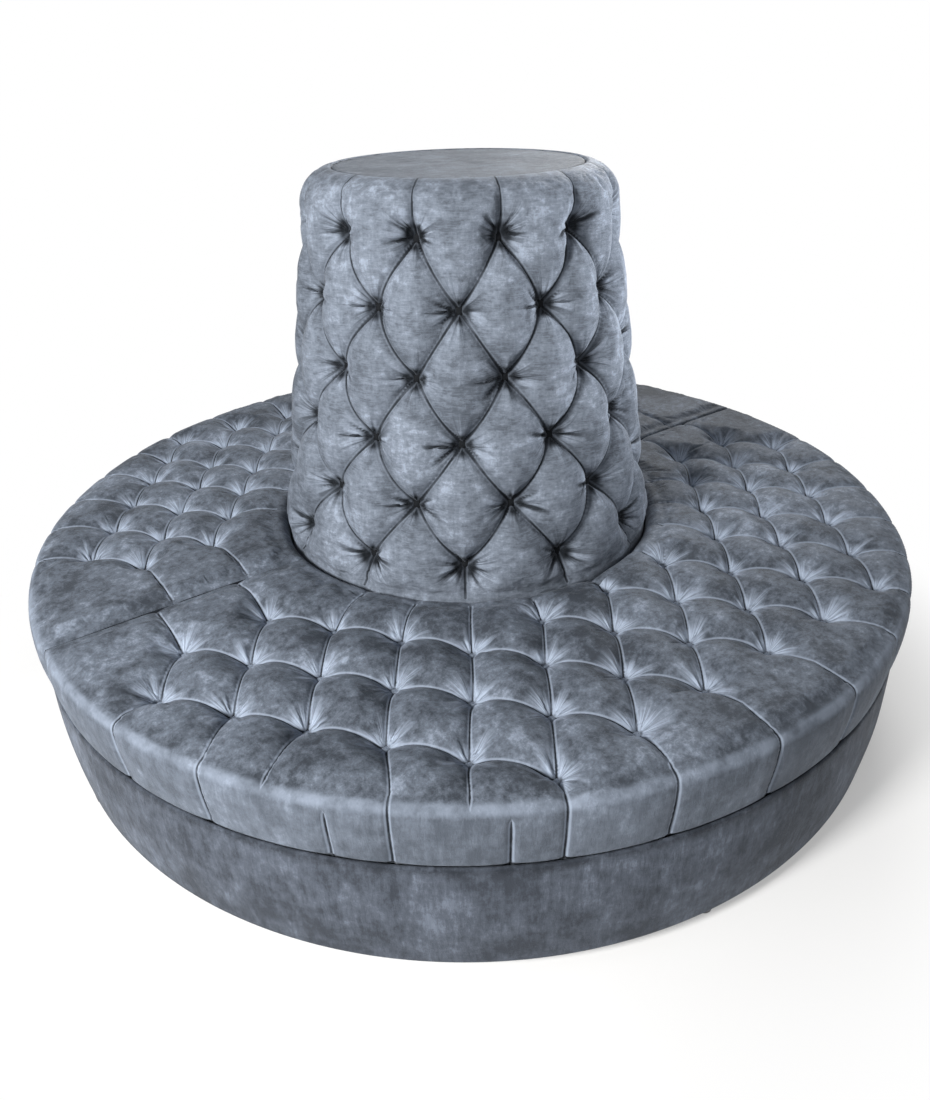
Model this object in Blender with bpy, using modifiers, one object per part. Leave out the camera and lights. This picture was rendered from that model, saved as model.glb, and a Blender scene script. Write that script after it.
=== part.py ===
"""Round tufted lobby sofa: two half-round benches round a tapered, deep-buttoned backrest drum.

Units are metres and +Z is up. The origin is on the floor, on the middle axis. The benches meet on the
plane Y = 0: the front bench lies towards -Y and the rear bench towards +Y.
"""

import math

import bmesh
import bpy
from mathutils import Vector
from mathutils.geometry import delaunay_2d_cdt, intersect_point_line

# Whole sofa
SEAT_HEIGHT = 0.412
BULGE_RADIUS = 1.000
CLEARANCE = 0.0003
SEAM_GAP = 0.0016
ARC_STEP = math.radians(6)
HALF_TURN = math.pi
QUARTER_TURN = math.pi / 2
FULL_TURN = 2 * math.pi
MERGE_DISTANCE = 0.00001
SHARP_ANGLE = math.radians(35)
BOX_FACES = ((0, 1, 3, 2), (4, 6, 7, 5), (0, 4, 5, 1), (2, 3, 7, 6), (0, 2, 6, 4), (1, 5, 7, 3))

# Feet, each moulded round the screw that holds it
FOOT_HEIGHT = 0.033
FOOT_TOP_RADIUS = 0.019
FOOT_BOTTOM_RADIUS = 0.016
FOOT_STEPS = 16
SCREW_RADIUS = 0.003
SCREW_STEPS = 8
FOOT_SCREW_BITE = 0.014
OUTER_FOOT_INSET = 0.032
OUTER_FOOT_ANGLES = tuple(math.radians(angle) for angle in (-80, -10, 10, 80))
INNER_FOOT_INSET = 0.118
INNER_FOOT_ANGLES = tuple(math.radians(angle) for angle in (-45, 45))
TOWER_FOOT_INSET = 0.052
TOWER_FOOT_COUNT = 4

# Base of a bench
DUST_COVER_THICKNESS = 0.001
BOARD_THICKNESS = 0.018
SEAT_BOARD_THICKNESS = 0.012
PANEL_THICKNESS = 0.008
END_PANEL_THICKNESS = 0.012
RIB_THICKNESS = 0.018
RIB_ANGLES = tuple(math.radians(angle) for angle in (-54, -18, 18, 54))
RIB_FIT = 0.0009
COVER_THICKNESS = 0.003
BASE_SETBACK = 0.022
BASE_TOP_SETBACK = 0.008
BASE_INNER_SETBACK = 0.0113

# Seat cushion
CUSHION_THICKNESS = 0.1515
CUSHION_FOOT_INSET = 0.032
TOP_EDGE_INSET = 0.062
TOP_EDGE_DROP = 0.012
SEAM_EDGE_INSET = 0.011
INNER_EDGE_INSET = 0.030
# Column pitch, row pitch and first row of the buttons, as shares of the sofa's radius
FRONT_GRID_SHARES = (0.1712, 0.1116, 0.1457)
REAR_GRID_SHARES = (0.1628, 0.1025, 0.2094)
# Inner and outer edge of the cushion's top on that same plan
GRID_EDGE_SHARES = (0.4607, 0.938)
# First and last button of each row on one side, in column pitches from the middle line
ROW_BUTTONS = ((3.5, 4.5), (3, 5), (2.5, 4.5), (0, 4), (0.5, 3.5), (0, 3), (0.5, 2.5))
PIT_DEPTH = 0.034
PLEAT_DEPTH = 0.012
PIT_REACH = 0.036
PLEAT_REACH = 0.017
SIDE_PLEAT_DEPTH = 0.008
ARC_SPLIT_COUNT = 3
END_SPLIT_COUNT = 2
INNER_ARC_STEP = math.radians(12)
LONG_PLEAT = 0.056
LONG_PLEAT_COUNT = 4
SHORT_PLEAT_COUNT = 2
POINT_SPACING = 0.014
# Side of the cushion from its top edge down: share of the height left, share of the reach from foot to bulge
SIDE_HEIGHT_SHARES = (0.86, 0.56, 0.27, 0.0)
SIDE_REACH_SHARES = (0.62, 1.0, 0.80, 0.0)
SIDE_PLEAT_SHARES = (1.0, 0.9, 0.6, 0.2)
EDGE_TUCK_SHARES = (0.7, 1.0, 1.0, 1.0)

# Buttons
BUTTON_RADIUS = 0.011
BUTTON_CROWN = 0.006

# Backrest drum
DRUM_FOOT_DROP = 0.112
DRUM_WIDE_RISE = 0.013
DRUM_WIDE_RADIUS = 0.4285
DRUM_SHOULDER_DROP = 0.085
DRUM_SHOULDER_RADIUS = 0.3216
DRUM_HEIGHT = 1.168
DRUM_CREST_INSET = 0.0536
DRUM_FOAM = 0.055
DRUM_COLUMNS = 12
DRUM_ROWS = 6
DRUM_FIRST_ROW_DROP = 0.091
DRUM_LAST_ROW_RISE = 0.0505
DRUM_TURN = math.radians(-6.8)
DRUM_STEPS = 48
DRUM_PIT_DEPTH = 0.030
DRUM_PLEAT_DEPTH = 0.010
DRUM_TUCK_DROP = 0.007
DRUM_TUCK_INSET = 0.0005
SHOULDER_SHARES = (0.30, 0.58, 0.82)

# Top pad of the drum
PAD_INSET = 0.016
PAD_DROP = 0.010
PAD_CROWN = 0.006
PAD_RISE = 0.004
PAD_RISE_INSET = 0.112

# Tower inside the drum
PLINTH_INSET = 0.056
MIDDLE_BOARD_INSET = 0.016
TOP_BOARD_DROP = 0.048
TOWER_RIB_INNER_RADIUS = 0.060
TOWER_RIB_ANGLES = tuple(math.radians(angle) for angle in (45, 135, 225, 315))

# Link plates across the joint of the benches
LINK_PLATE_LENGTH = 0.160
LINK_PLATE_WIDTH = 0.040
LINK_PLATE_THICKNESS = 0.004
LINK_SCREW_OFFSET = 0.055
LINK_SCREW_BITE = 0.012
LINK_HEAD_RADIUS = 0.006
LINK_HEAD_HEIGHT = 0.002

# Heights that follow from the sizes above
DUST_COVER_BOTTOM = FOOT_HEIGHT + CLEARANCE
BOTTOM_BOARD_BOTTOM = DUST_COVER_BOTTOM + DUST_COVER_THICKNESS + CLEARANCE
BOTTOM_BOARD_TOP = BOTTOM_BOARD_BOTTOM + BOARD_THICKNESS
CUSHION_BOTTOM = SEAT_HEIGHT - CUSHION_THICKNESS
SEAT_BOARD_TOP = CUSHION_BOTTOM - CLEARANCE
SEAT_BOARD_BOTTOM = SEAT_BOARD_TOP - SEAT_BOARD_THICKNESS
FRAME_BOTTOM = BOTTOM_BOARD_TOP + CLEARANCE
FRAME_TOP = SEAT_BOARD_BOTTOM - CLEARANCE
TOWER_BOARD_BOTTOM = FOOT_HEIGHT + CLEARANCE
DRUM_FOOT_HEIGHT = SEAT_HEIGHT - DRUM_FOOT_DROP
DRUM_TUCK_HEIGHT = SEAT_HEIGHT - DRUM_TUCK_DROP
DRUM_WIDE_HEIGHT = SEAT_HEIGHT + DRUM_WIDE_RISE
DRUM_LAST_ROW_HEIGHT = SEAT_HEIGHT + DRUM_LAST_ROW_RISE
DRUM_FIRST_ROW_HEIGHT = DRUM_HEIGHT - DRUM_FIRST_ROW_DROP
DRUM_ROW_PITCH = (DRUM_FIRST_ROW_HEIGHT - DRUM_LAST_ROW_HEIGHT) / (DRUM_ROWS - 1)
DRUM_SHOULDER_HEIGHT = DRUM_HEIGHT - DRUM_SHOULDER_DROP
PAD_EDGE_HEIGHT = DRUM_HEIGHT - PAD_DROP
MIDDLE_BOARD_TOP = DRUM_FOOT_HEIGHT - CLEARANCE
MIDDLE_BOARD_BOTTOM = MIDDLE_BOARD_TOP - BOARD_THICKNESS
TOP_BOARD_HEIGHT = DRUM_HEIGHT - TOP_BOARD_DROP
TOP_BOARD_BOTTOM = TOP_BOARD_HEIGHT - BOARD_THICKNESS

# Plan sizes that follow from the sizes above
DRUM_TUCK_RADIUS = DRUM_WIDE_RADIUS - DRUM_TUCK_INSET
DRUM_CREST_RADIUS = DRUM_SHOULDER_RADIUS - DRUM_CREST_INSET
PAD_RADIUS = DRUM_CREST_RADIUS - PAD_INSET
PAD_RISE_RADIUS = PAD_RADIUS - PAD_RISE_INSET
PLINTH_RADIUS = DRUM_TUCK_RADIUS - PLINTH_INSET
MIDDLE_BOARD_RADIUS = DRUM_TUCK_RADIUS - MIDDLE_BOARD_INSET
TOWER_FOOT_RADIUS = PLINTH_RADIUS - TOWER_FOOT_INSET
CUSHION_INNER_RADIUS = (DRUM_TUCK_RADIUS + CLEARANCE) / math.cos(INNER_ARC_STEP / 2)
CUSHION_MIDDLE_RADIUS = (CUSHION_INNER_RADIUS + BULGE_RADIUS) / 2
CUSHION_FOOT_RADIUS = BULGE_RADIUS - CUSHION_FOOT_INSET
TOP_EDGE_RADIUS = BULGE_RADIUS - TOP_EDGE_INSET
INNER_EDGE_RADIUS = CUSHION_INNER_RADIUS + INNER_EDGE_INSET
BASE_RADIUS = BULGE_RADIUS - BASE_SETBACK
BASE_TOP_RADIUS = BULGE_RADIUS - BASE_TOP_SETBACK
BASE_INNER_RADIUS = CUSHION_INNER_RADIUS + BASE_INNER_SETBACK
OUTER_FOOT_RADIUS = BASE_RADIUS - OUTER_FOOT_INSET
INNER_FOOT_RADIUS = BASE_INNER_RADIUS + INNER_FOOT_INSET
LINK_PLATE_MIDDLE = (BASE_RADIUS + BASE_INNER_RADIUS) / 2
COVER_END = SEAM_GAP / 2
WOOD_END = COVER_END + COVER_THICKNESS + CLEARANCE
WOOD_RADIUS = BASE_RADIUS - COVER_THICKNESS - CLEARANCE
WOOD_INNER_RADIUS = BASE_INNER_RADIUS + COVER_THICKNESS + CLEARANCE
PANEL_END = WOOD_END + END_PANEL_THICKNESS + CLEARANCE

VELVET = (0.27, 0.32, 0.39)
FOAM_VELVET = (0.31, 0.36, 0.43)
PLYWOOD = (0.62, 0.47, 0.30)
SOFTWOOD = (0.72, 0.57, 0.38)
BLACK_PLASTIC = (0.02, 0.02, 0.022)
BLACK_CLOTH = (0.03, 0.03, 0.032)
STEEL = (0.55, 0.56, 0.58)


def clear_scene():
    """Remove every object, so that the model starts from nothing."""
    for item in list(bpy.data.objects):
        bpy.data.objects.remove(item, do_unlink=True)


def new_collection(name):
    """A collection in the scene."""
    collection = bpy.data.collections.new(name)
    bpy.context.scene.collection.children.link(collection)
    return collection


def make_material(name, colour, roughness, metallic=0.0):
    """A Principled material for one piece."""
    material = bpy.data.materials.new(name)
    material.use_nodes = True
    shader = material.node_tree.nodes["Principled BSDF"]
    shader.inputs["Base Color"].default_value = (*colour, 1.0)
    shader.inputs["Roughness"].default_value = roughness
    shader.inputs["Metallic"].default_value = metallic
    return material


def make_parent(name, turn=0.0):
    """An empty that carries the pieces of one unit, turned about the middle axis."""
    empty = bpy.data.objects.new(name, None)
    empty.rotation_euler.z = turn
    SOFA.objects.link(empty)
    return empty


def add_piece(name, data, colour, roughness, parent, metallic=0.0):
    """Put mesh or curve data into the sofa as one named piece."""
    piece = bpy.data.objects.new(name, data)
    piece.data.materials.append(make_material(name, colour, roughness, metallic))
    piece.parent = parent
    SOFA.objects.link(piece)
    return piece


def flat_outline(name, loops, low, high, colour, roughness, parent, metallic=0.0):
    """A flat board between two heights. The first loop is its outline and the others are holes."""
    curve = bpy.data.curves.new(name, "CURVE")
    curve.dimensions = "2D"
    curve.fill_mode = "BOTH"
    curve.extrude = (high - low) / 2
    for loop in loops:
        spline = curve.splines.new("POLY")
        spline.points.add(len(loop) - 1)
        for point, place in zip(spline.points, loop):
            point.co = (place[0], place[1], 0.0, 1.0)
        spline.use_cyclic_u = True
    piece = add_piece(name, curve, colour, roughness, parent, metallic)
    piece.location.z = (low + high) / 2
    return piece


def turned_mesh(name, profile, steps, closed=False):
    """Mesh of a profile, given as radius and height down its outer side, turned about Z."""
    mesh = bpy.data.meshes.new(name)
    edges = [(index, index + 1) for index in range(len(profile) - 1)]
    if closed:
        edges.append((len(profile) - 1, 0))
    mesh.from_pydata([(radius, 0.0, height) for radius, height in profile], edges, [])
    blank = bpy.data.objects.new(name, mesh)
    SOFA.objects.link(blank)
    screw = blank.modifiers.new("turn", "SCREW")
    screw.steps = steps
    screw.render_steps = steps
    screw.use_merge_vertices = True
    screw.merge_threshold = MERGE_DISTANCE
    evaluated = blank.evaluated_get(bpy.context.evaluated_depsgraph_get())
    turned = bpy.data.meshes.new_from_object(evaluated)
    bpy.data.objects.remove(blank, do_unlink=True)
    bpy.data.meshes.remove(mesh)
    turned.name = name
    return turned


def smooth(mesh):
    """Shade a round piece smooth with its corners kept sharp."""
    mesh.shade_smooth()
    mesh.set_sharp_from_angle(angle=SHARP_ANGLE)


def box_piece(name, low, high, colour, parent):
    """A straight-sided board between two corners."""
    mesh = bpy.data.meshes.new(name)
    corners = [(x, y, z) for x in (low[0], high[0]) for y in (low[1], high[1]) for z in (low[2], high[2])]
    mesh.from_pydata(corners, [], BOX_FACES)
    return add_piece(name, mesh, colour, 0.75, parent)


def plan_point(radius, angle):
    """Plan point at an angle that is zero towards the front bench's middle (-Y) and grows towards +X."""
    return Vector((radius * math.sin(angle), -radius * math.cos(angle)))


def circle_loop(middle, radius, steps):
    """Round hole or outline as a list of plan points."""
    angles = [FULL_TURN * index / steps for index in range(steps)]
    return [middle + Vector((radius * math.cos(angle), radius * math.sin(angle))) for angle in angles]


def bench_arc(radius, end):
    """Arc of a half ring whose straight ends lie at a distance from the joint.

    Every arc has a point where the bent panels end, so that nested arcs keep their gap.
    """
    limits = [QUARTER_TURN - math.asin(distance / radius) for distance in sorted({PANEL_END, end})[::-1]]
    count = int((QUARTER_TURN - ARC_STEP / 2) // ARC_STEP)
    middle = [ARC_STEP * index for index in range(-count, count + 1)]
    angles = [-limit for limit in limits[::-1]] + middle + limits
    return [plan_point(radius, angle) for angle in angles]


def half_ring(inner, outer, end):
    """Outline of a half ring."""
    return bench_arc(outer, end) + bench_arc(inner, end)[::-1]


def foot_places():
    """Plan points of the feet of one bench."""
    outer = [plan_point(OUTER_FOOT_RADIUS, angle) for angle in OUTER_FOOT_ANGLES]
    return outer + [plan_point(INNER_FOOT_RADIUS, angle) for angle in INNER_FOOT_ANGLES]


def tower_foot_places():
    """Plan points of the feet of the tower."""
    step = FULL_TURN / TOWER_FOOT_COUNT
    return [plan_point(TOWER_FOOT_RADIUS, step * index) for index in range(TOWER_FOOT_COUNT)]


def link_screw_places():
    """Plan points of the link screws of the front bench, two at each plate."""
    return [Vector((side * LINK_PLATE_MIDDLE + offset, -LINK_SCREW_OFFSET))
            for side in (-1, 1) for offset in (-LINK_PLATE_WIDTH / 4, LINK_PLATE_WIDTH / 4)]


def screw_holes(places):
    """Holes that clear a screw."""
    return [circle_loop(place, SCREW_RADIUS + CLEARANCE, SCREW_STEPS) for place in places]


def foot_mesh():
    """Tapered foot with its screw standing up from it."""
    tip = BOTTOM_BOARD_BOTTOM + FOOT_SCREW_BITE
    profile = [(0.0, tip), (SCREW_RADIUS, tip), (SCREW_RADIUS, FOOT_HEIGHT), (FOOT_TOP_RADIUS, FOOT_HEIGHT),
               (FOOT_BOTTOM_RADIUS, 0.0), (0.0, 0.0)]
    return turned_mesh("foot", profile, FOOT_STEPS)


def add_feet(prefix, places, parent):
    """Feet of one unit."""
    mesh = foot_mesh()
    smooth(mesh)
    for index, place in enumerate(places):
        foot = add_piece(f"{prefix}foot_{index + 1}", mesh, BLACK_PLASTIC, 0.45, parent)
        foot.location = (place.x, place.y, 0.0)


def seat_lattice(column_pitch, row_pitch, first_row):
    """Plan points of one bench's buttons, keyed by row and column."""
    buttons = {}
    for row, (first, last) in enumerate(ROW_BUTTONS):
        distance = first_row + row * row_pitch
        column = -last
        while column <= last:
            if abs(column) >= first:
                buttons[row, column] = fitted(Vector((column * column_pitch, -distance)))
            column += 1
    return buttons


def fitted(point):
    """A point of the button grid moved in or out, so that the grid fills the top of the cushion."""
    inner_share, outer_share = GRID_EDGE_SHARES
    share = (point.length - inner_share) / (outer_share - inner_share)
    radius = INNER_EDGE_RADIUS + (TOP_EDGE_RADIUS - INNER_EDGE_RADIUS) * share
    return point * (radius / point.length)


def seat_pleats(buttons):
    """Sewn pleats between neighbouring buttons and, as run-outs, from the last buttons to the edges."""
    pleats = []
    runs = {"outer": [], "inner": [], "seam": []}
    for (row, column), button in buttons.items():
        for step in (-0.5, 0.5):
            above = buttons.get((row + 1, column + step))
            if above is not None:
                pleats.append((button, above))
        missing = [(row + up, column + step) for up in (-1, 1) for step in (-0.5, 0.5)
                   if row + up >= 0 and (row + up, column + step) not in buttons]
        outwards = [key for key in missing if is_outside(key)]
        if outwards:
            runs["outer"].append(button)
        if len(missing) > len(outwards) and button.length < CUSHION_MIDDLE_RADIUS:
            runs["inner"].append(button)
        if row == 0:
            runs["seam"].append(button)
    return pleats, runs


def is_outside(key):
    """True if a missing lattice place lies beyond the last button of its row."""
    row, column = key
    return row >= len(ROW_BUTTONS) or abs(column) > ROW_BUTTONS[row][1]


def distance_to_segment(point, start, end):
    """Least distance from a plan point to a straight pleat."""
    share = min(max(intersect_point_line(point, start, end)[1], 0.0), 1.0)
    return (start + (end - start) * share - point).length


def sewn_drop(point, pits, pleats, pit_depth, pleat_depth):
    """How far the sewing draws the cloth below its crown at a point."""
    pit_gap = min((point - pit).length for pit in pits)
    pleat_gap = min(distance_to_segment(point, start, end) for start, end in pleats)
    pit_drop = (pit_depth - pleat_depth) * math.exp(-(pit_gap / PIT_REACH) ** 2)
    return pit_drop + pleat_depth * math.exp(-(pleat_gap / PLEAT_REACH) ** 2)


def split_between(values, splits):
    """Values with others spaced evenly between each pair."""
    result = []
    for low, high in zip(values, values[1:]):
        result += [low + (high - low) * index / splits for index in range(splits)]
    return result + [values[-1]]


def split_finely(angles):
    """Angles with others between them, so that no step is wider than the inner arc's."""
    result = []
    for low, high in zip(angles, angles[1:]):
        splits = math.ceil((high - low) / INNER_ARC_STEP)
        result += split_between([low, high], splits)[:-1]
    return result + [angles[-1]]


class CushionEdge:
    """Top edge of a seat cushion: plan points with the direction in which the side leaves each."""

    def __init__(self, runs):
        self.points = []
        self.pleated = []
        self.sides = []
        self.ends = {}
        outer = TOP_EDGE_RADIUS
        inner = INNER_EDGE_RADIUS
        seam = COVER_END + SEAM_EDGE_INSET
        self.add_arc(outer, seam, runs["outer"], "outer", 1)
        self.add_end(outer, inner, seam, runs["seam"], 1)
        self.add_arc(inner, seam, runs["inner"], "inner", -1)
        self.add_end(inner, outer, seam, runs["seam"], -1)

    def add(self, point, side, pleated):
        self.points.append(point)
        self.sides.append(side)
        self.pleated.append(pleated)

    def add_arc(self, radius, seam, buttons, side, way):
        """An arc from one end of the bench to the other, with a point at each pleat."""
        limit = QUARTER_TURN - math.asin(seam / radius)
        pleats = sorted(math.atan2(button.x, -button.y) for button in buttons)
        stops = [-limit] + pleats + [limit]
        angles = split_between(stops, ARC_SPLIT_COUNT) if side == "outer" else split_finely(stops)
        for index, angle in enumerate(angles[::way]):
            corner = index in (0, len(angles) - 1)
            point = plan_point(radius, angle)
            self.add(point, (side, "seam") if corner else (side,), angle in pleats)
        for button in buttons:
            angle = math.atan2(button.x, -button.y)
            self.ends[side, tuple(button)] = plan_point(radius, angle)

    def add_end(self, start, stop, seam, buttons, side):
        """A straight end along the joint, with a point at each pleat."""
        columns = sorted(abs(button.x) for button in buttons if button.x * side > 0)
        corners = [math.sqrt(radius ** 2 - seam ** 2) for radius in (start, stop)]
        order = sorted(corners) if start < stop else sorted(corners)[::-1]
        columns = columns if start < stop else columns[::-1]
        places = split_between([order[0]] + columns + [order[1]], END_SPLIT_COUNT)
        for place in places[1:-1]:
            pleated = any(abs(place - column) < CLEARANCE for column in columns)
            self.add(Vector((side * place, -seam)), ("seam",), pleated)
        for column in columns:
            self.ends["seam", side * column] = Vector((side * column, -seam))


def run_out_pleats(runs, edge):
    """Straight pleats from the last buttons to the cushion's edges."""
    pleats = [(button, edge.ends[side, tuple(button)]) for side in ("outer", "inner")
              for button in runs[side]]
    return pleats + [(button, Vector((button.x, edge.ends["seam", button.x].y)))
                     for button in runs["seam"]]


def inside_cushion(point, edge_margin):
    """True if a plan point lies on the cushion's top, clear of its edge."""
    outer = TOP_EDGE_RADIUS - edge_margin
    inner = INNER_EDGE_RADIUS + edge_margin
    seam = COVER_END + SEAM_EDGE_INSET + edge_margin
    return inner < point.length < outer and -point.y > seam


def crown_points(column_pitch, row_pitch, first_row, taken):
    """Points between the pleats, on a grid that has a point on every crown."""
    points = []
    row_step = row_pitch / 2
    column_step = column_pitch / 4
    rows = int(1 // row_step)
    columns = int(1 // column_step)
    for row in range(-rows, rows):
        for column in range(-columns, columns + 1):
            point = Vector((column * column_step, -first_row - row * row_step)) * BULGE_RADIUS
            if not inside_cushion(point, POINT_SPACING):
                continue
            if all((point - other).length > POINT_SPACING for other in taken):
                points.append(point)
    return points


def seat_cushion_mesh(name, grid_shares, buttons):
    """Deep-buttoned half ring: crowned diamonds, sewn pleats and a rounded, pleated side."""
    pleats, runs = seat_pleats(buttons)
    edge = CushionEdge(runs)
    pleats = pleats + run_out_pleats(runs, edge)
    pits = list(buttons.values())
    places = list(edge.points)
    count = len(places)
    links = [(index, (index + 1) % count) for index in range(count)]

    def place_index(point):
        for index, other in enumerate(places):
            if (other - point).length < CLEARANCE:
                return index
        places.append(point)
        return len(places) - 1

    for start, end in pleats:
        parts = LONG_PLEAT_COUNT if (end - start).length > LONG_PLEAT else SHORT_PLEAT_COUNT
        chain = [place_index(start + (end - start) * index / parts) for index in range(parts + 1)]
        links += list(zip(chain, chain[1:]))
    places += crown_points(*grid_shares, places)
    verts, _, faces, *_ = delaunay_2d_cdt(places, links, [list(range(count))], 1, CLEARANCE / 10)

    bm = bmesh.new()
    tops = []
    for vert in verts:
        point = Vector(vert)
        drop = sewn_drop(point, pits, pleats, PIT_DEPTH, PLEAT_DEPTH)
        tops.append(bm.verts.new((point.x, point.y, SEAT_HEIGHT - edge_drop(point) - drop)))
    for face in faces:
        bm.faces.new([tops[index] for index in face])
    add_cushion_side(bm, edge, [nearest_vert(tops, point) for point in edge.points])
    raise_buttons(bm, [nearest_vert(tops, pit) for pit in pits], lambda place: Vector((0.0, 0.0, 1.0)))
    bmesh.ops.recalc_face_normals(bm, faces=bm.faces)
    mesh = bpy.data.meshes.new(name)
    bm.to_mesh(mesh)
    bm.free()
    smooth(mesh)
    return mesh


def raise_buttons(bm, pits, lift):
    """Turn each pit's lowest point into a small round button with a crown."""
    made = bmesh.ops.bevel(bm, geom=pits, offset=BUTTON_RADIUS, segments=1, affect="VERTICES")
    poked = bmesh.ops.poke(bm, faces=made["faces"])
    for vert in poked["verts"]:
        vert.co += lift(vert.co) * BUTTON_CROWN


def nearest_vert(verts, point):
    """The top vertex at a plan point."""
    return min(verts, key=lambda vert: (vert.co.xy - point).length)


def edge_drop(point):
    """How far the crown falls towards the outer edge of the cushion."""
    gap = TOP_EDGE_RADIUS - point.length
    share = max(0.0, 1.0 - gap / TOP_EDGE_INSET)
    return TOP_EDGE_DROP * share ** 2


def add_cushion_side(bm, edge, top_ring):
    """Rings of the side below the top edge, and the flat underside."""
    edge_height = SEAT_HEIGHT - TOP_EDGE_DROP - CUSHION_BOTTOM
    bulge = BULGE_RADIUS - CUSHION_FOOT_RADIUS
    above = top_ring
    for height, reach, pleat, tuck in zip(SIDE_HEIGHT_SHARES, SIDE_REACH_SHARES, SIDE_PLEAT_SHARES,
                                          EDGE_TUCK_SHARES):
        radius = CUSHION_FOOT_RADIUS + bulge * reach
        ring = []
        for point, sides, pleated in zip(edge.points, edge.sides, edge.pleated):
            draw_in = SIDE_PLEAT_DEPTH * pleat if pleated and "outer" in sides else 0.0
            place = point.copy()
            if "outer" in sides:
                place *= (radius - draw_in) / TOP_EDGE_RADIUS
            if "inner" in sides:
                place *= 1.0 - INNER_EDGE_INSET * tuck / point.length
            if "seam" in sides:
                place.y = -(COVER_END + SEAM_EDGE_INSET * (1.0 - tuck))
            ring.append(bm.verts.new((*place, CUSHION_BOTTOM + edge_height * height)))
        for index in range(len(ring)):
            after = (index + 1) % len(ring)
            bm.faces.new((above[index], above[after], ring[after], ring[index]))
        above = ring
    bm.faces.new(above)


def make_bench(prefix, turn, grid_shares):
    """One half-round bench with its frame, cover, cushion and feet."""
    bench = make_parent(prefix + "bench", turn)
    holes = screw_holes(foot_places() + link_screw_places())
    board = half_ring(WOOD_INNER_RADIUS, WOOD_RADIUS, WOOD_END)
    flat_outline(prefix + "dust_cover", [board] + holes, DUST_COVER_BOTTOM,
                 DUST_COVER_BOTTOM + DUST_COVER_THICKNESS, BLACK_CLOTH, 0.9, bench)
    flat_outline(prefix + "bottom_board", [board] + holes, BOTTOM_BOARD_BOTTOM, BOTTOM_BOARD_TOP,
                 PLYWOOD, 0.7, bench)
    flat_outline(prefix + "outer_panel", [half_ring(WOOD_RADIUS - PANEL_THICKNESS, WOOD_RADIUS, PANEL_END)],
                 FRAME_BOTTOM, FRAME_TOP, PLYWOOD, 0.7, bench)
    inner_loop = half_ring(WOOD_INNER_RADIUS, WOOD_INNER_RADIUS + PANEL_THICKNESS, PANEL_END)
    flat_outline(prefix + "inner_panel", [inner_loop], FRAME_BOTTOM, FRAME_TOP, PLYWOOD, 0.7, bench)
    make_end_panels(prefix, bench)
    make_bench_ribs(prefix, bench)
    flat_outline(prefix + "seat_board", [board], SEAT_BOARD_BOTTOM, SEAT_BOARD_TOP, PLYWOOD, 0.7, bench)
    add_piece(prefix + "base_cover", base_cover_mesh(prefix + "base_cover"), VELVET, 0.8, bench)
    mesh = seat_cushion_mesh(prefix + "seat_cushion", grid_shares, seat_lattice(*grid_shares))
    add_piece(prefix + "seat_cushion", mesh, FOAM_VELVET, 0.8, bench)
    add_feet(prefix, foot_places(), bench)


def base_cover_mesh(name):
    """Velvet skin round the base, padded out towards the top of its outer side."""
    inside = half_ring(BASE_INNER_RADIUS + COVER_THICKNESS, BASE_RADIUS - COVER_THICKNESS,
                       COVER_END + COVER_THICKNESS)
    foot = half_ring(BASE_INNER_RADIUS, BASE_RADIUS, COVER_END)
    head = half_ring(BASE_INNER_RADIUS, BASE_TOP_RADIUS, COVER_END)
    levels = ((inside, DUST_COVER_BOTTOM), (foot, DUST_COVER_BOTTOM), (head, SEAT_BOARD_TOP),
              (inside, SEAT_BOARD_TOP))
    verts = [(*point, height) for loop, height in levels for point in loop]
    count = len(foot)
    faces = []
    for level in range(len(levels)):
        below, above = level * count, (level + 1) % len(levels) * count
        for index in range(count):
            after = (index + 1) % count
            faces.append((below + index, below + after, above + after, above + index))
    mesh = bpy.data.meshes.new(name)
    mesh.from_pydata(verts, [], faces)
    smooth(mesh)
    return mesh


def make_end_panels(prefix, bench):
    """The two flat panels behind the joint."""
    far_end = WOOD_END + END_PANEL_THICKNESS
    inner = WOOD_INNER_RADIUS
    outer = math.sqrt(WOOD_RADIUS ** 2 - far_end ** 2) - CLEARANCE
    for side, low, high in (("left", -outer, -inner), ("right", inner, outer)):
        box_piece(prefix + side + "_end_panel", (low, -far_end, FRAME_BOTTOM),
                  (high, -WOOD_END, FRAME_TOP), PLYWOOD, bench)


def make_bench_ribs(prefix, bench):
    """Upright ribs between the inner and outer panels."""
    start = WOOD_INNER_RADIUS + PANEL_THICKNESS + CLEARANCE
    stop = WOOD_RADIUS - PANEL_THICKNESS - RIB_FIT
    for index, angle in enumerate(RIB_ANGLES):
        rib = box_piece(f"{prefix}rib_{index + 1}", (-RIB_THICKNESS / 2, -stop, FRAME_BOTTOM),
                        (RIB_THICKNESS / 2, -start, FRAME_TOP), SOFTWOOD, bench)
        rib.rotation_euler.z = angle


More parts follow.
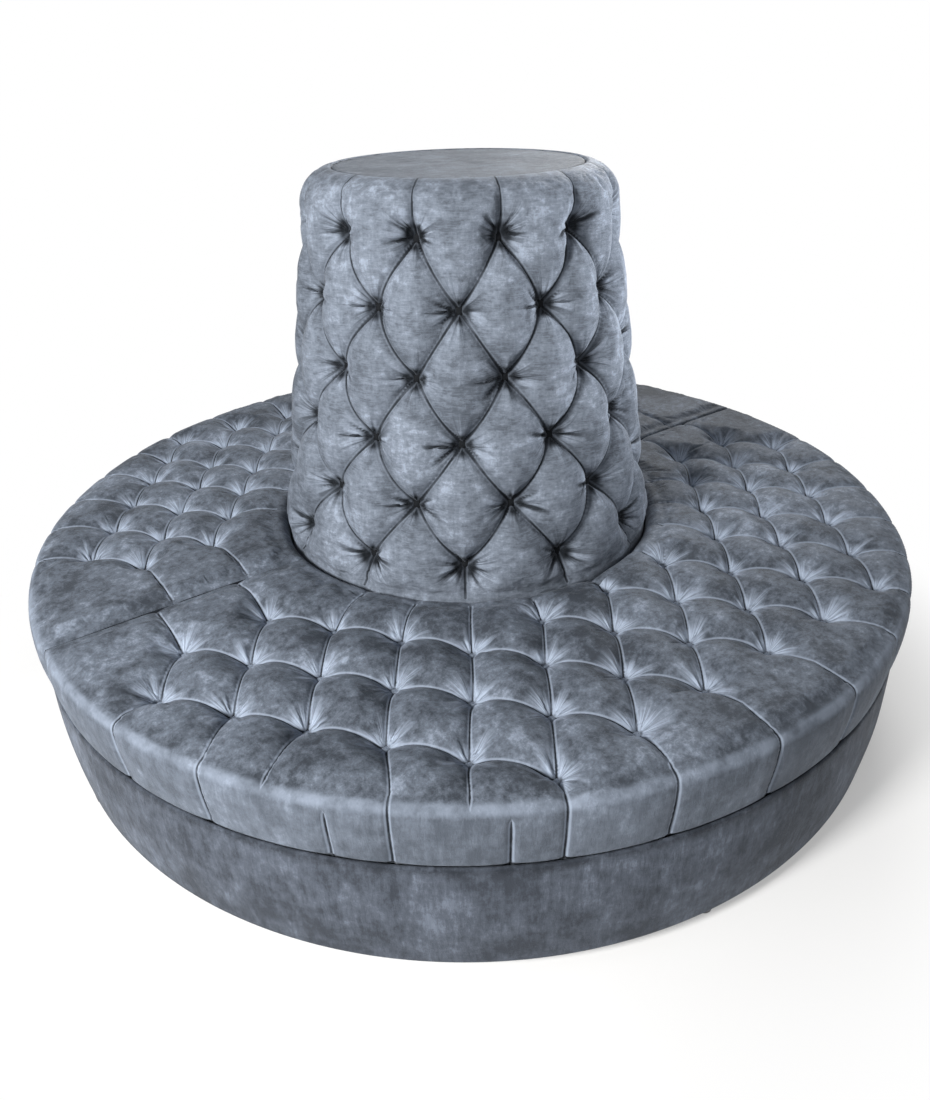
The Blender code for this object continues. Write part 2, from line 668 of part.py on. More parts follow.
def make_links():
    """Steel plates with their screws, which hold the two benches together from below."""
    top = DUST_COVER_BOTTOM - CLEARANCE
    tip = BOTTOM_BOARD_BOTTOM + LINK_SCREW_BITE
    bottom = top - LINK_PLATE_THICKNESS
    profile = [(0.0, tip), (SCREW_RADIUS, tip), (SCREW_RADIUS, bottom + LINK_PLATE_THICKNESS / 2),
               (LINK_HEAD_RADIUS, bottom + LINK_PLATE_THICKNESS / 2),
               (LINK_HEAD_RADIUS, bottom - LINK_HEAD_HEIGHT), (0.0, bottom - LINK_HEAD_HEIGHT)]
    screw = turned_mesh("link_screw", profile, SCREW_STEPS)
    for side, name in ((-1, "left_link_plate"), (1, "right_link_plate")):
        middle = side * LINK_PLATE_MIDDLE
        plate = box_piece(name, (middle - LINK_PLATE_WIDTH / 2, -LINK_PLATE_LENGTH / 2, bottom),
                          (middle + LINK_PLATE_WIDTH / 2, LINK_PLATE_LENGTH / 2, top), STEEL, TOWER)
        for place in both_sides(link_screw_places()):
            if place.x * side > 0:
                join_screw(plate, screw, place)


def join_screw(plate, screw, place):
    """Join one screw to a link plate."""
    joined = bpy.data.objects.new("link_screw", screw)
    joined.location = (place.x, place.y, 0.0)
    joined.hide_render = True
    joined.display_type = "WIRE"
    CUTTERS.objects.link(joined)
    union = plate.modifiers.new("screw", "BOOLEAN")
    union.operation = "UNION"
    union.solver = "EXACT"
    union.object = joined


def both_sides(places):
    """Plan points of one bench with those of the bench turned to face it."""
    return places + [-place for place in places]


def drum_radius(height):
    """Radius of the drum's crowns at a height on its straight flank."""
    share = (height - DRUM_WIDE_HEIGHT) / (DRUM_SHOULDER_HEIGHT - DRUM_WIDE_HEIGHT)
    return DRUM_WIDE_RADIUS + (DRUM_SHOULDER_RADIUS - DRUM_WIDE_RADIUS) * share


def panel_radius(height):
    """Outer radius of the cone panel under the foam."""
    return drum_radius(height) - DRUM_FOAM


def drum_flank():
    """Outer profile of the drum from its crest down, as radius, height and length along the cloth."""
    points = [(DRUM_CREST_RADIUS, DRUM_HEIGHT)]
    wide = DRUM_SHOULDER_RADIUS - DRUM_CREST_RADIUS
    tall = DRUM_HEIGHT - DRUM_SHOULDER_HEIGHT
    for share in SHOULDER_SHARES:
        angle = QUARTER_TURN * share
        points.append((DRUM_CREST_RADIUS + wide * math.sin(angle),
                       DRUM_SHOULDER_HEIGHT + tall * math.cos(angle)))
    rows = 2 * DRUM_ROWS - 1
    heights = [DRUM_FIRST_ROW_HEIGHT - DRUM_ROW_PITCH / 2 * row for row in range(rows)]
    points += [(drum_radius(height), height) for height in heights]
    points += [(DRUM_TUCK_RADIUS, DRUM_TUCK_HEIGHT), (DRUM_TUCK_RADIUS, DRUM_FOOT_HEIGHT)]
    lengths = [0.0]
    for before, after in zip(points, points[1:]):
        lengths.append(lengths[-1] + math.dist(before, after))
    first = lengths[1 + len(SHOULDER_SHARES)]
    return [(radius, height, DRUM_FIRST_ROW_HEIGHT + first - length)
            for (radius, height), length in zip(points, lengths)]


def drum_sewing(flank):
    """Buttons and pleats of the drum on its cloth laid flat, one column past the full turn each way."""
    across = DRUM_WIDE_RADIUS * FULL_TURN / DRUM_COLUMNS
    pits = {}
    for row in range(DRUM_ROWS):
        shift = 0.5 if row % 2 == 0 else 0.0
        for column in range(-2, DRUM_COLUMNS + 2):
            height = DRUM_FIRST_ROW_HEIGHT - DRUM_ROW_PITCH * row
            pits[row, column + shift] = Vector(((column + shift) * across, height))
    pleats = []
    for (row, column), pit in pits.items():
        for step in (-0.5, 0.5):
            below = pits.get((row + 1, column + step))
            if below is not None:
                pleats.append((pit, below))
        if row == 0:
            pleats.append((pit, Vector((pit.x, flank[0][2]))))
        if row == DRUM_ROWS - 1:
            pleats.append((pit, Vector((pit.x, flank[-1][2]))))
    return list(pits.values()), pleats


def backrest_cushion_mesh(name):
    """Deep-buttoned drum cushion: a turned shape drawn in at its buttons and pleats."""
    flank = drum_flank()
    foot_inner = panel_radius(DRUM_FOOT_HEIGHT) + CLEARANCE
    shoulder_inner = panel_radius(DRUM_SHOULDER_HEIGHT) + CLEARANCE
    board_top = TOP_BOARD_HEIGHT + CLEARANCE
    rim_inner = PAD_RADIUS + CLEARANCE
    profile = [(rim_inner, PAD_EDGE_HEIGHT)] + [(radius, height) for radius, height, _ in flank]
    profile += [(foot_inner, DRUM_FOOT_HEIGHT), (shoulder_inner, DRUM_SHOULDER_HEIGHT),
                (shoulder_inner, board_top), (rim_inner, board_top)]
    mesh = turned_mesh(name, profile, DRUM_STEPS, closed=True)
    pits, pleats = drum_sewing(flank)
    across = DRUM_WIDE_RADIUS
    inwards = Vector((DRUM_WIDE_HEIGHT - DRUM_SHOULDER_HEIGHT, DRUM_SHOULDER_RADIUS - DRUM_WIDE_RADIUS))
    inwards.normalize()
    bm = bmesh.new()
    bm.from_mesh(mesh)
    drops = {}
    for vert in bm.verts:
        radius = vert.co.xy.length
        place = min(flank, key=lambda point: math.dist((radius, vert.co.z), point[:2]))
        on_flank = math.dist((radius, vert.co.z), place[:2]) < CLEARANCE
        if not on_flank or place[1] <= DRUM_TUCK_HEIGHT:
            drops[vert] = 0.0
            continue
        angle = math.atan2(vert.co.y, vert.co.x) % FULL_TURN
        cloth = Vector((angle * across, place[2]))
        drops[vert] = sewn_drop(cloth, pits, pleats, DRUM_PIT_DEPTH, DRUM_PLEAT_DEPTH)
        outwards = vert.co.xy.normalized()
        vert.co.xy += outwards * inwards.x * drops[vert]
        vert.co.z += inwards.y * drops[vert]
    split_along_creases(bm, drops)
    bm.to_mesh(mesh)
    bm.free()
    smooth(mesh)
    return mesh


def split_along_creases(bm, drops):
    """Split each four-sided face along its deeper diagonal, so that the pleats stay sharp."""
    for face in list(bm.faces):
        if len(face.verts) != 4:
            continue
        first, second, third, fourth = face.verts
        if drops[first] + drops[third] > drops[second] + drops[fourth]:
            bmesh.utils.face_split(face, first, third)
        else:
            bmesh.utils.face_split(face, second, fourth)


def make_backrest():
    """Everything soft on the tower."""
    cushion = add_piece("backrest_cushion", backrest_cushion_mesh("backrest_cushion"), FOAM_VELVET, 0.8,
                        TOWER)
    cushion.rotation_euler.z = DRUM_TURN
    bottom = TOP_BOARD_HEIGHT + CLEARANCE
    profile = [(0.0, PAD_EDGE_HEIGHT + PAD_CROWN), (PAD_RISE_RADIUS, PAD_EDGE_HEIGHT + PAD_RISE),
               (PAD_RADIUS, PAD_EDGE_HEIGHT), (PAD_RADIUS, bottom), (0.0, bottom)]
    pad = turned_mesh("backrest_top_pad", profile, DRUM_STEPS)
    smooth(pad)
    pad_piece = add_piece("backrest_top_pad", pad, FOAM_VELVET, 0.8, TOWER)
    pad_piece.rotation_euler.z = DRUM_TURN


def make_tower_frame():
    """Boards, panels and ribs that carry the backrest."""
    centre = Vector((0.0, 0.0))
    board = circle_loop(centre, PLINTH_RADIUS, DRUM_STEPS)
    holes = screw_holes(tower_foot_places())
    flat_outline("tower_bottom_board", [board] + holes, TOWER_BOARD_BOTTOM, BOTTOM_BOARD_TOP, PLYWOOD,
                 0.7, TOWER)
    add_feet("tower_", tower_foot_places(), TOWER)
    plinth_top = MIDDLE_BOARD_BOTTOM - CLEARANCE
    inside = circle_loop(centre, PLINTH_RADIUS - PANEL_THICKNESS, DRUM_STEPS)
    flat_outline("tower_plinth_panel", [board, inside], FRAME_BOTTOM, plinth_top, PLYWOOD, 0.7, TOWER)
    flat_outline("tower_middle_board", [circle_loop(centre, MIDDLE_BOARD_RADIUS, DRUM_STEPS)],
                 MIDDLE_BOARD_BOTTOM, MIDDLE_BOARD_TOP, PLYWOOD, 0.7, TOWER)
    cone_bottom = DRUM_FOOT_HEIGHT
    cone_top = TOP_BOARD_BOTTOM - CLEARANCE
    foot_reach = panel_radius(cone_bottom)
    top_reach = panel_radius(DRUM_SHOULDER_HEIGHT)
    outside = [(top_reach, cone_top), (top_reach, DRUM_SHOULDER_HEIGHT), (foot_reach, cone_bottom)]
    inside = [(radius - PANEL_THICKNESS, height) for radius, height in outside[::-1]]
    cone = add_piece("tower_cone_panel", turned_mesh("tower_cone_panel", outside + inside, DRUM_STEPS,
                                                     closed=True), PLYWOOD, 0.7, TOWER)
    cone.rotation_euler.z = DRUM_TURN
    top = flat_outline("tower_top_board", [circle_loop(centre, top_reach, DRUM_STEPS)], TOP_BOARD_BOTTOM,
                       TOP_BOARD_HEIGHT, PLYWOOD, 0.7, TOWER)
    top.rotation_euler.z = DRUM_TURN
    make_tower_ribs(plinth_top, cone_bottom, cone_top)


def make_tower_ribs(plinth_top, cone_bottom, cone_top):
    """Upright ribs of the plinth and of the cone."""
    plinth_reach = PLINTH_RADIUS - PANEL_THICKNESS - RIB_FIT
    for index, angle in enumerate(TOWER_RIB_ANGLES):
        rib = box_piece(f"tower_lower_rib_{index + 1}", (TOWER_RIB_INNER_RADIUS, -RIB_THICKNESS / 2,
                        FRAME_BOTTOM), (plinth_reach, RIB_THICKNESS / 2, plinth_top), SOFTWOOD, TOWER)
        rib.rotation_euler.z = angle
    foot_reach = panel_radius(cone_bottom) - PANEL_THICKNESS - RIB_FIT
    top_reach = panel_radius(DRUM_SHOULDER_HEIGHT) - PANEL_THICKNESS - RIB_FIT
    loop = [(TOWER_RIB_INNER_RADIUS, cone_bottom), (foot_reach, cone_bottom),
            (top_reach, DRUM_SHOULDER_HEIGHT), (top_reach, cone_top), (TOWER_RIB_INNER_RADIUS, cone_top)]
    for index, angle in enumerate(TOWER_RIB_ANGLES):
        rib = flat_outline(f"tower_upper_rib_{index + 1}", [loop], -RIB_THICKNESS / 2, RIB_THICKNESS / 2,
                           SOFTWOOD, 0.75, TOWER)
        rib.rotation_euler = (QUARTER_TURN, 0.0, angle + DRUM_TURN)


clear_scene()
SOFA = new_collection("tufted_lobby_sofa")
CUTTERS = new_collection("joined_screws")
TOWER = make_parent("tower")
make_bench("front_", 0.0, FRONT_GRID_SHARES)
make_bench("rear_", HALF_TURN, REAR_GRID_SHARES)
make_links()
make_tower_frame()
make_backrest()
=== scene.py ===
"""Round tufted lobby sofa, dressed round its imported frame.

The benches meet on the plane y = 0 and the middle axis is x = y = 0. Lengths are metres and +Z is up.
Each bench is made in the front bench's place, towards -Y, and the rear one is turned to face it.
"""

import math

import bmesh
import bpy
import numpy as np
from bpy.props import FloatProperty, FloatVectorProperty, PointerProperty
from bpy.types import Operator, Panel, PropertyGroup
from mathutils import Matrix, Vector
from mathutils.geometry import delaunay_2d_cdt


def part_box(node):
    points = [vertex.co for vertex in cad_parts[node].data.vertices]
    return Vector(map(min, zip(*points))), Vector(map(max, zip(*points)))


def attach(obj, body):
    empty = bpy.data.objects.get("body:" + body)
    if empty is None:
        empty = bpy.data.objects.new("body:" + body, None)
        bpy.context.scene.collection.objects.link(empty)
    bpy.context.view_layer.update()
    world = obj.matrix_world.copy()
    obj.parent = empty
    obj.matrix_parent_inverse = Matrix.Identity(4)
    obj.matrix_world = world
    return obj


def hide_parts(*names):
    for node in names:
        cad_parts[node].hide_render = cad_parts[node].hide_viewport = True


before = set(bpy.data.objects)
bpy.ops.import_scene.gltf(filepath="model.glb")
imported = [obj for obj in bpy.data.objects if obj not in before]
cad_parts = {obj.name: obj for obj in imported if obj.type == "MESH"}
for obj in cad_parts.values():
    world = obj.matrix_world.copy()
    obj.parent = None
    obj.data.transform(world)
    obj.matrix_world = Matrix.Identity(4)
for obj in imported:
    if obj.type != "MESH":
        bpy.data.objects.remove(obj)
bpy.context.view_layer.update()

bl_info = {
    "name": "Tufted lobby sofa",
    "version": (1, 0, 0),
    "blender": (4, 5, 0),
    "location": "3D View > Sidebar > Sofa",
    "description": "Upholstery, feet, finishes and stage of a round deep-buttoned lobby sofa",
    "category": "Object",
}

SEED = 41
HOLD_LEVELS = 20
SETTLE_FRAMES = 4
STUFFING_PRESSURE = 60.0
SPARE_CLOTH = 0.04
SEAT_SETTLE_LIMIT = 0.010
DRUM_SETTLE_LIMIT = 0.008
FAR = 0.08
BATCH = 8000
SAME_PLACE = 0.00005
SAME_PLAN_PLACE = 0.00002
PLAN_DIGITS = 5
GATHER = 0.085
BUTTON_CLEAR = 0.008
PIT_FOLDS = 10
PIT_SEED_LIMIT = 60.0
FOLD_START = 0.007
FOLD_SPREAD = 0.13
FOLD_JITTER = 0.20
FOLD_DEPTHS = (0.35, 1.0)
RUN_RISE = 0.085
PLEAT_HOLD = 0.35
PLEAT_HOLD_WIDTH = 0.006
DRIFT = 0.0016
DRIFT_ROOM = 0.05
FULL_TURN = 2 * math.pi
QUARTER_TURN = math.pi / 2
UPRIGHT = np.array([0.0, 0.0, 1.0])
HALF_TURN = (-1.0, -1.0, 1.0)
UNSEWN = {"tuft": (1.0, 0.0, 0.0), "crease": FAR, "reach": FAR, "fold": 0.0}
FOOT_SIDES = 36
FOOT_SIZES = {"Top Radius": 0.019, "Sole Radius": 0.016, "Height": 0.033, "Chamfer": 0.0018}

# Seat cushions
SEAT_TOP = 0.412
SEAT_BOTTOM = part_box("front_seat_cushion")[0].z
BULGE_RADIUS = 0.992
BULGE_HEIGHT = 0.360
SEAT_HEM_RADIUS = 0.984
SEAT_HEM_HEIGHT = 0.286
SEAT_HEM_ROLL = 0.0105
SEAT_FOOT_RADIUS = 0.972
EDGE_START_RADIUS = 0.948
EDGE_FULLNESS = 3.7
TOP_LIMIT_RADIUS = 0.964
INNER_RADIUS = 0.4307
INNER_ROLL_WIDTH = 0.030
INNER_ROLL_DROP = 0.035
INNER_TOP_RADIUS = INNER_RADIUS + INNER_ROLL_WIDTH
JOINT_GAP = 0.0008
JOINT_ROLL = 0.011
JOINT_TOP = JOINT_GAP + JOINT_ROLL
SEAT_LATTICES = {"front": (0.1712, 0.1116, 0.1457), "rear": (0.1628, 0.1025, 0.2094)}
ROW_BUTTONS = ((3.5, 4.5), (3, 5), (2.5, 4.5), (0, 4), (0.5, 3.5), (0, 3), (0.5, 2.5))
CELL_STEPS = 22
EDGE_SPACING = 0.0048
LINE_SPACING = 0.0040
CLEAR_OF_LINE = 0.0021
NEAR_SHARES = (0.25, 0.60, 1.05)
SIDE_ONLY_PLEATS = {"front": (-49.0, -32.6), "rear": (31.0, 47.5)}
SIDE_LINE_WIDTH = 0.010
SIDE_HOLLOW = 0.6
SIDE_HOLLOW_WIDTH = 0.060
SIDE_ONLY_START = 0.394
SIDE_ONLY_FADE = 0.022
SIDE_FADE = 0.020
SIDE_TIED = 0.030
TOP_ONLY_DROP = 0.014
SEAT_PLEAT_WIDTHS = (0.066, 0.030)
SEAT_FOLDS = (0.028, 0.062, 0.0)
EDGE_HOLD = 0.020
RIM_HOLD = 0.7
RIM_HOLD_WIDTH = 0.024
HEM_HOLD = 0.012
LINE_TAPER = 0.0085
TOP_ONLY_PLEATS = {"front": ((3, -4), (5, -3)), "rear": ()}
PLEAT_TURNS = {"front": {(4, -3.5): 2.1, (2, -4.5): 2.6}, "rear": {}}
PLAN_CORNER_WIDTH = 0.055
PLAN_CORNER_DEPTH = 0.011

# Backrest drum
DRUM_WIDE_HEIGHT = 0.425
DRUM_WIDE_RADIUS = 0.4285
DRUM_SHOULDER_HEIGHT = 1.083
DRUM_SHOULDER_RADIUS = 0.3216
DRUM_LEAN = math.atan2(DRUM_WIDE_RADIUS - DRUM_SHOULDER_RADIUS, DRUM_SHOULDER_HEIGHT - DRUM_WIDE_HEIGHT)
DRUM_TOP = 1.1668
DRUM_CREST_RADIUS = 0.258
DRUM_SLACK = 0.004
DRUM_TUCK_HEIGHT = 0.400
DRUM_TUCK_RADIUS = 0.4275
DRUM_FOOT_HEIGHT = 0.300
DRUM_FIRST_ROW = 1.077
DRUM_ROW_PITCH = 0.1229
DRUM_ROWS = 6
DRUM_COLUMNS = 12
DRUM_TURN = math.radians(-6.8)
DRUM_STEPS = 24
DRUM_CLOTH_RADIUS = 0.385
DRUM_FOAM = 0.055
DRUM_RUN_DEPTH = 0.008
DRUM_PLEAT_WIDTHS = (0.074, 0.046)
DRUM_FOLDS = (0.040, 0.092, 0.9)
DRUM_RIM = 0.02
DRUM_RIM_FADE = 0.06
DRUM_RIM_HELD = 0.010
PAD_RADIUS = 0.252
PAD_HEIGHT = 1.1615
PAD_THICKNESS = 0.030
PAD_CROWN = 0.0050
PAD_SIDES = 192
PAD_SOFTNESS = 0.0016
PAD_SOFT_FADE = 0.08
PAD_SOFT_LIMIT = 0.235

# Base covers
BASE_TOP = 0.26035
BASE_RIM = 0.2740
BASE_BOTTOM = 0.0331
BASE_TOP_RADIUS = 0.9840
BASE_BOTTOM_RADIUS = 0.9775
BASE_SWELL = 0.0062
BASE_RIPPLE = 0.0011
BASE_INNER_RADIUS = 0.442
BASE_CORNER = 0.006
BASE_FRONT_RADIUS = 0.90
BASE_FRONT_FADE = 0.05
BASE_OUTER_POINTS = 560
BASE_END_POINTS = 90
BASE_INNER_POINTS = 220
BASE_ROWS = 26


# Properties

def length_setting(name, description, default):
    """A length of the sewing."""
    return FloatProperty(name=name, description=description, default=default, unit="LENGTH")


def colour_setting(name, description, default):
    """A colour of the cloth or of a small part."""
    return FloatVectorProperty(name=name, description=description, default=default, subtype="COLOR",
                               size=3, min=0, max=1)


class SofaSizes(PropertyGroup):
    """Sizes of the sewing."""

    seat_pit: length_setting("Seat pit depth", "Depth of a seat button below the crowns", 0.034)
    seat_pleat: length_setting("Seat pleat depth", "Depth of a seat pleat at its middle", 0.0125)
    drum_pit: length_setting("Backrest pit depth", "Depth of a backrest button", 0.046)
    drum_pleat: length_setting("Backrest pleat depth", "Depth of a pleat at its middle", 0.018)
    side_pleat: length_setting("Side pleat depth", "Depth of a pleat on the seat's side", 0.0055)
    button_radius: length_setting("Button radius", "Radius of a covered button", 0.0105)
    button_crown: length_setting("Button crown", "Height of a covered button", 0.0065)
    pucker: length_setting("Pucker depth", "Depth of the folds that run into a button", 0.0060)
    drum_pucker: length_setting("Backrest pucker depth", "Depth of the backrest's folds", 0.0100)
    unevenness: length_setting("Unevenness", "Rise and fall of the stuffing", 0.0020)


class SofaColours(PropertyGroup):
    """Colours of the cloth and of the small parts."""

    # These three are one velvet in three tones, and the tones are painted light: the upright backrest is
    # painted lighter than the seats' tops, and the base darker as painted shade under the seats.
    seat: colour_setting("Seat velvet", "Colour of the seat cushions", (0.098, 0.114, 0.142))
    backrest: colour_setting("Backrest velvet", "Colour of the backrest", (0.130, 0.150, 0.184))
    base: colour_setting("Base velvet", "Colour of the base", (0.064, 0.074, 0.094))
    foot: colour_setting("Feet", "Colour of the feet", (0.018, 0.018, 0.020))


# Shaders

def fill_inputs(tree, node, inputs):
    """Set or link the inputs of a node."""
    for key, value in dict(inputs).items():
        if hasattr(value, "is_linked"):
            tree.links.new(value, node.inputs[key])
        else:
            node.inputs[key].default_value = value


def add_node(tree, kind, inputs=(), **settings):
    """A new node with its settings, and with the values or links of its inputs."""
    node = tree.nodes.new(kind)
    for key, value in settings.items():
        setattr(node, key, value)
    fill_inputs(tree, node, inputs)
    return node


def add_ramp(tree, value, low, high, to_low=0.0, to_high=1.0):
    """A smooth step of a value from one bound to the other."""
    bounds = {"Value": value, "From Min": low, "From Max": high, "To Min": to_low, "To Max": to_high}
    return add_node(tree, "ShaderNodeMapRange", bounds, interpolation_type="SMOOTHSTEP").outputs[0]


def add_maths(tree, operation, first, second, **settings):
    """The result of one sum on two values."""
    return add_node(tree, "ShaderNodeMath", {0: first, 1: second}, operation=operation, **settings).outputs[0]


class Shader:
    """Short way to add and link the nodes of one material."""

    def __init__(self, name, colour=(1.0, 1.0, 1.0)):
        self.colour = colour
        self.material = bpy.data.materials.new(name)
        self.material.use_nodes = True
        self.tree = self.material.node_tree
        self.surface = self.tree.nodes["Principled BSDF"]
        self.place = self.node("ShaderNodeTexCoord").outputs["Object"]

    def node(self, kind, inputs=(), **settings):
        return add_node(self.tree, kind, inputs, **settings)

    def maths(self, operation, first, second, **settings):
        return add_maths(self.tree, operation, first, second, **settings)

    def times(self, first, second):
        return self.maths("MULTIPLY", first, second)

    def plus(self, first, second):
        return self.maths("ADD", first, second)

    def ramp(self, value, *bounds):
        return add_ramp(self.tree, value, *bounds)

    def noise(self, vector, scale, detail=4.0, roughness=0.55):
        values = {"Vector": vector, "Scale": scale, "Detail": detail, "Roughness": roughness}
        return self.node("ShaderNodeTexNoise", values).outputs[0]

    def stretched(self, vector, scale):
        return self.node("ShaderNodeMapping", {"Vector": vector, "Scale": scale}).outputs[0]

    def stretched_noise(self, scale, *detail):
        return self.noise(self.stretched(self.place, scale), 1.0, *detail)

    def mix(self, factor, first, second):
        return self.node("ShaderNodeMix", {0: factor, 6: first, 7: second}, data_type="RGBA").outputs[2]

    def tint(self, factor, base, change):
        """Mix a colour with the material's own, made lighter or darker."""
        return self.mix(factor, base, shade(self.colour, change))

    def bump(self, height, distance, strength, under=()):
        values = {"Height": height, "Distance": distance, "Strength": strength, **dict(under)}
        return self.node("ShaderNodeBump", values).outputs[0]

    def attribute(self, name, output="Fac"):
        return self.node("ShaderNodeAttribute", attribute_name=name).outputs[output]

    def finish(self, **values):
        fill_inputs(self.tree, self.surface, {key.replace("_", " "): value for key, value in values.items()})
        return self.material


def shade(colour, factor):
    """A colour made lighter or darker."""
    return (*(min(1.0, part * factor) for part in colour), 1.0)


class Pile:
    """How one velvet is laid: its brush marks and weave, and how its painted sheen, highlights and shade show
    round its buttons, along its pleats and below a seat's seam.
    """

    brush = (60.0, 60.0, 16.0)
    crush = 1.0
    weave = 0.0
    tufted = True
    # These fan settings give the painted sheen highlights and painted shade round each button, and which way
    # they lean.
    fan_scale = 11.0
    fan_length = (0.026, 0.066)
    fan_highlight = 1.0
    fan_shade = 0.4
    fan_fade = 1.25
    fan_sharp = (0.40, 0.70)
    fan_relief = 0.0045
    sideways = 0.0
    # Strength of the painted highlight beside a pleat, widths of its painted dark line, strength of its wider
    # painted shade, and reach of the painted shade in a pit.
    ridge_highlight = 0.5
    line = (0.0008, 0.0026)
    hollow = 0.0
    pit_shade_reach = 0.010
    # Height under which a base is painted darker as painted shadow below the seat; None for none.
    seam = None

    def __init__(self, **changes):
        vars(self).update(changes)


def velvet(name, colour, pile):
    """Crushed velvet: blotches of laid pile and brush marks; on tufted pieces, painted sheen and painted
    shade round each button and along each pleat, and on the base a painted shadow below the seam.
    """
    made = Shader(name, colour)
    cloud = made.noise(made.place, 5.5, 6.0, 0.65)
    patch = made.noise(made.place, 19.0, 8.0, 0.78)
    brush = made.stretched_noise(pile.brush, 6.0, 0.74)
    nap = made.stretched_noise((170.0, 170.0, 26.0), 3.0)
    crushed = made.plus(made.times(cloud, 0.34), made.times(patch, 0.38))
    crushed = made.plus(crushed, made.times(brush, 0.28))
    middle = 1.15
    dark = shade(colour, middle - 0.77 * pile.crush)
    base = made.tint(made.ramp(crushed, 0.42, 0.54), dark, middle)
    base = made.tint(made.ramp(crushed, 0.52, 0.60, 0.0, 0.85), base, middle + 1.20 * pile.crush)
    base = made.tint(made.ramp(nap, 0.36, 0.66, 0.0, 0.26), base, 0.50)
    grain = made.noise(made.place, 800.0, 2.0)
    height = made.plus(made.times(nap, 0.5), made.times(grain, 0.5))
    if pile.weave:
        thread = made.stretched_noise((40.0, 40.0, 560.0), 3.0)
        base = made.tint(made.ramp(thread, 0.46, 0.66, 0.0, pile.weave), base, 1.8)
        height = made.plus(height, made.times(thread, 0.8))
    normal = made.bump(made.plus(height, made.times(brush, 2.0)), 0.0016, 0.6)
    if pile.tufted:
        base, normal = painted_button_sheen_and_shade(made, base, normal, pile)
        base = painted_pleat_shade_and_highlights(made, base, pile)
    # Painted shadow: below the seat cushion's seam the base is painted darker, broken up by noise, for the
    # shade under the cushion's overhang.
    if pile.seam is not None:
        level = made.node("ShaderNodeSeparateXYZ", {"Vector": made.place}).outputs[2]
        below = made.times(made.ramp(level, pile.seam - 0.024, pile.seam - 0.004),
                           made.ramp(patch, 0.40, 0.56, 0.80, 0.40))
        base = made.tint(below, base, 0.25)
    return made.finish(Base_Color=base, Roughness=0.60, Normal=normal, Sheen_Weight=0.07,
                       Sheen_Roughness=0.32, Sheen_Tint=(0.80, 0.88, 1.0, 1.0),
                       Specular_IOR_Level=0.10, Specular_Tint=(0.72, 0.84, 1.0, 1.0))


def painted_button_sheen_and_shade(made, base, normal, pile):
    """Painted sheen round each button: a fan of painted highlight streaks, and painted shade in its hollows,
    folds and pit.
    """
    parts = made.node("ShaderNodeSeparateXYZ", {"Vector": made.attribute("tuft", "Vector")}).outputs
    flat = made.node("ShaderNodeCombineXYZ", {"X": parts[0], "Y": parts[1]}).outputs[0]
    reach = made.attribute("reach")
    ray = made.node("ShaderNodeVectorMath", {0: flat}, operation="NORMALIZE").outputs[0]
    split = made.node("ShaderNodeSeparateXYZ", {"Vector": ray}).outputs
    seeded = made.node("ShaderNodeCombineXYZ", {"X": split[0], "Y": split[1], "Z": parts[2]}).outputs[0]
    broad = made.noise(made.stretched(seeded, (1.5, 1.5, 1.0)), 1.0, 1.0)
    fan = made.noise(made.stretched(seeded, (pile.fan_scale, pile.fan_scale, 1.0)), 1.0, 4.0, 0.66)
    length = made.ramp(broad, 0.35, 0.65, *pile.fan_length)
    near = made.maths("SUBTRACT", 1.0, made.maths("DIVIDE", reach, length), use_clamp=True)
    near = made.times(made.maths("POWER", near, pile.fan_fade), made.ramp(reach, 0.006, 0.012))
    near = made.times(near, made.ramp(made.times(split[0], split[0]), 0.1, 0.7, 1.0 - pile.sideways, 1.0))
    # Painted highlight: a glow and bright streaks of sheen spread from each button, with a brighter core
    # close to it.
    base = made.tint(made.times(near, 0.80 * pile.fan_highlight), base, 3.2)
    streak_highlight = made.times(made.ramp(fan, *pile.fan_sharp), near)
    base = made.tint(made.times(streak_highlight, 0.85 * pile.fan_highlight), base, 5.0)
    core_highlight = made.times(made.ramp(reach, 0.010, 0.036, 0.46 * pile.fan_highlight, 0.0),
                      made.ramp(fan, 0.36, 0.56, 0.25, 1.0))
    base = made.tint(core_highlight, base, 4.6)
    # Painted shade: dark streaks between the light ones, and darker colour along the fold hollows that run
    # into each button.
    hollow = made.times(made.ramp(fan, 0.40, 0.50, 1.0, 0.0), near)
    base = made.tint(made.times(hollow, pile.fan_shade), base, 0.08)
    fold = made.ramp(made.attribute("fold"), 0.16, 0.55, 0.0, 0.45 + 0.5 * pile.fan_shade)
    base = made.tint(fold, base, 0.10)
    # Painted shade: the cloth close to each button is painted nearly black, for the shade deep in its pit.
    pit = made.ramp(reach, pile.pit_shade_reach * 0.5, pile.pit_shade_reach, 0.98, 0.0)
    base = made.tint(pit, base, 0.02)
    return base, made.bump(made.times(fan, near), pile.fan_relief, 1.0, {"Normal": normal})


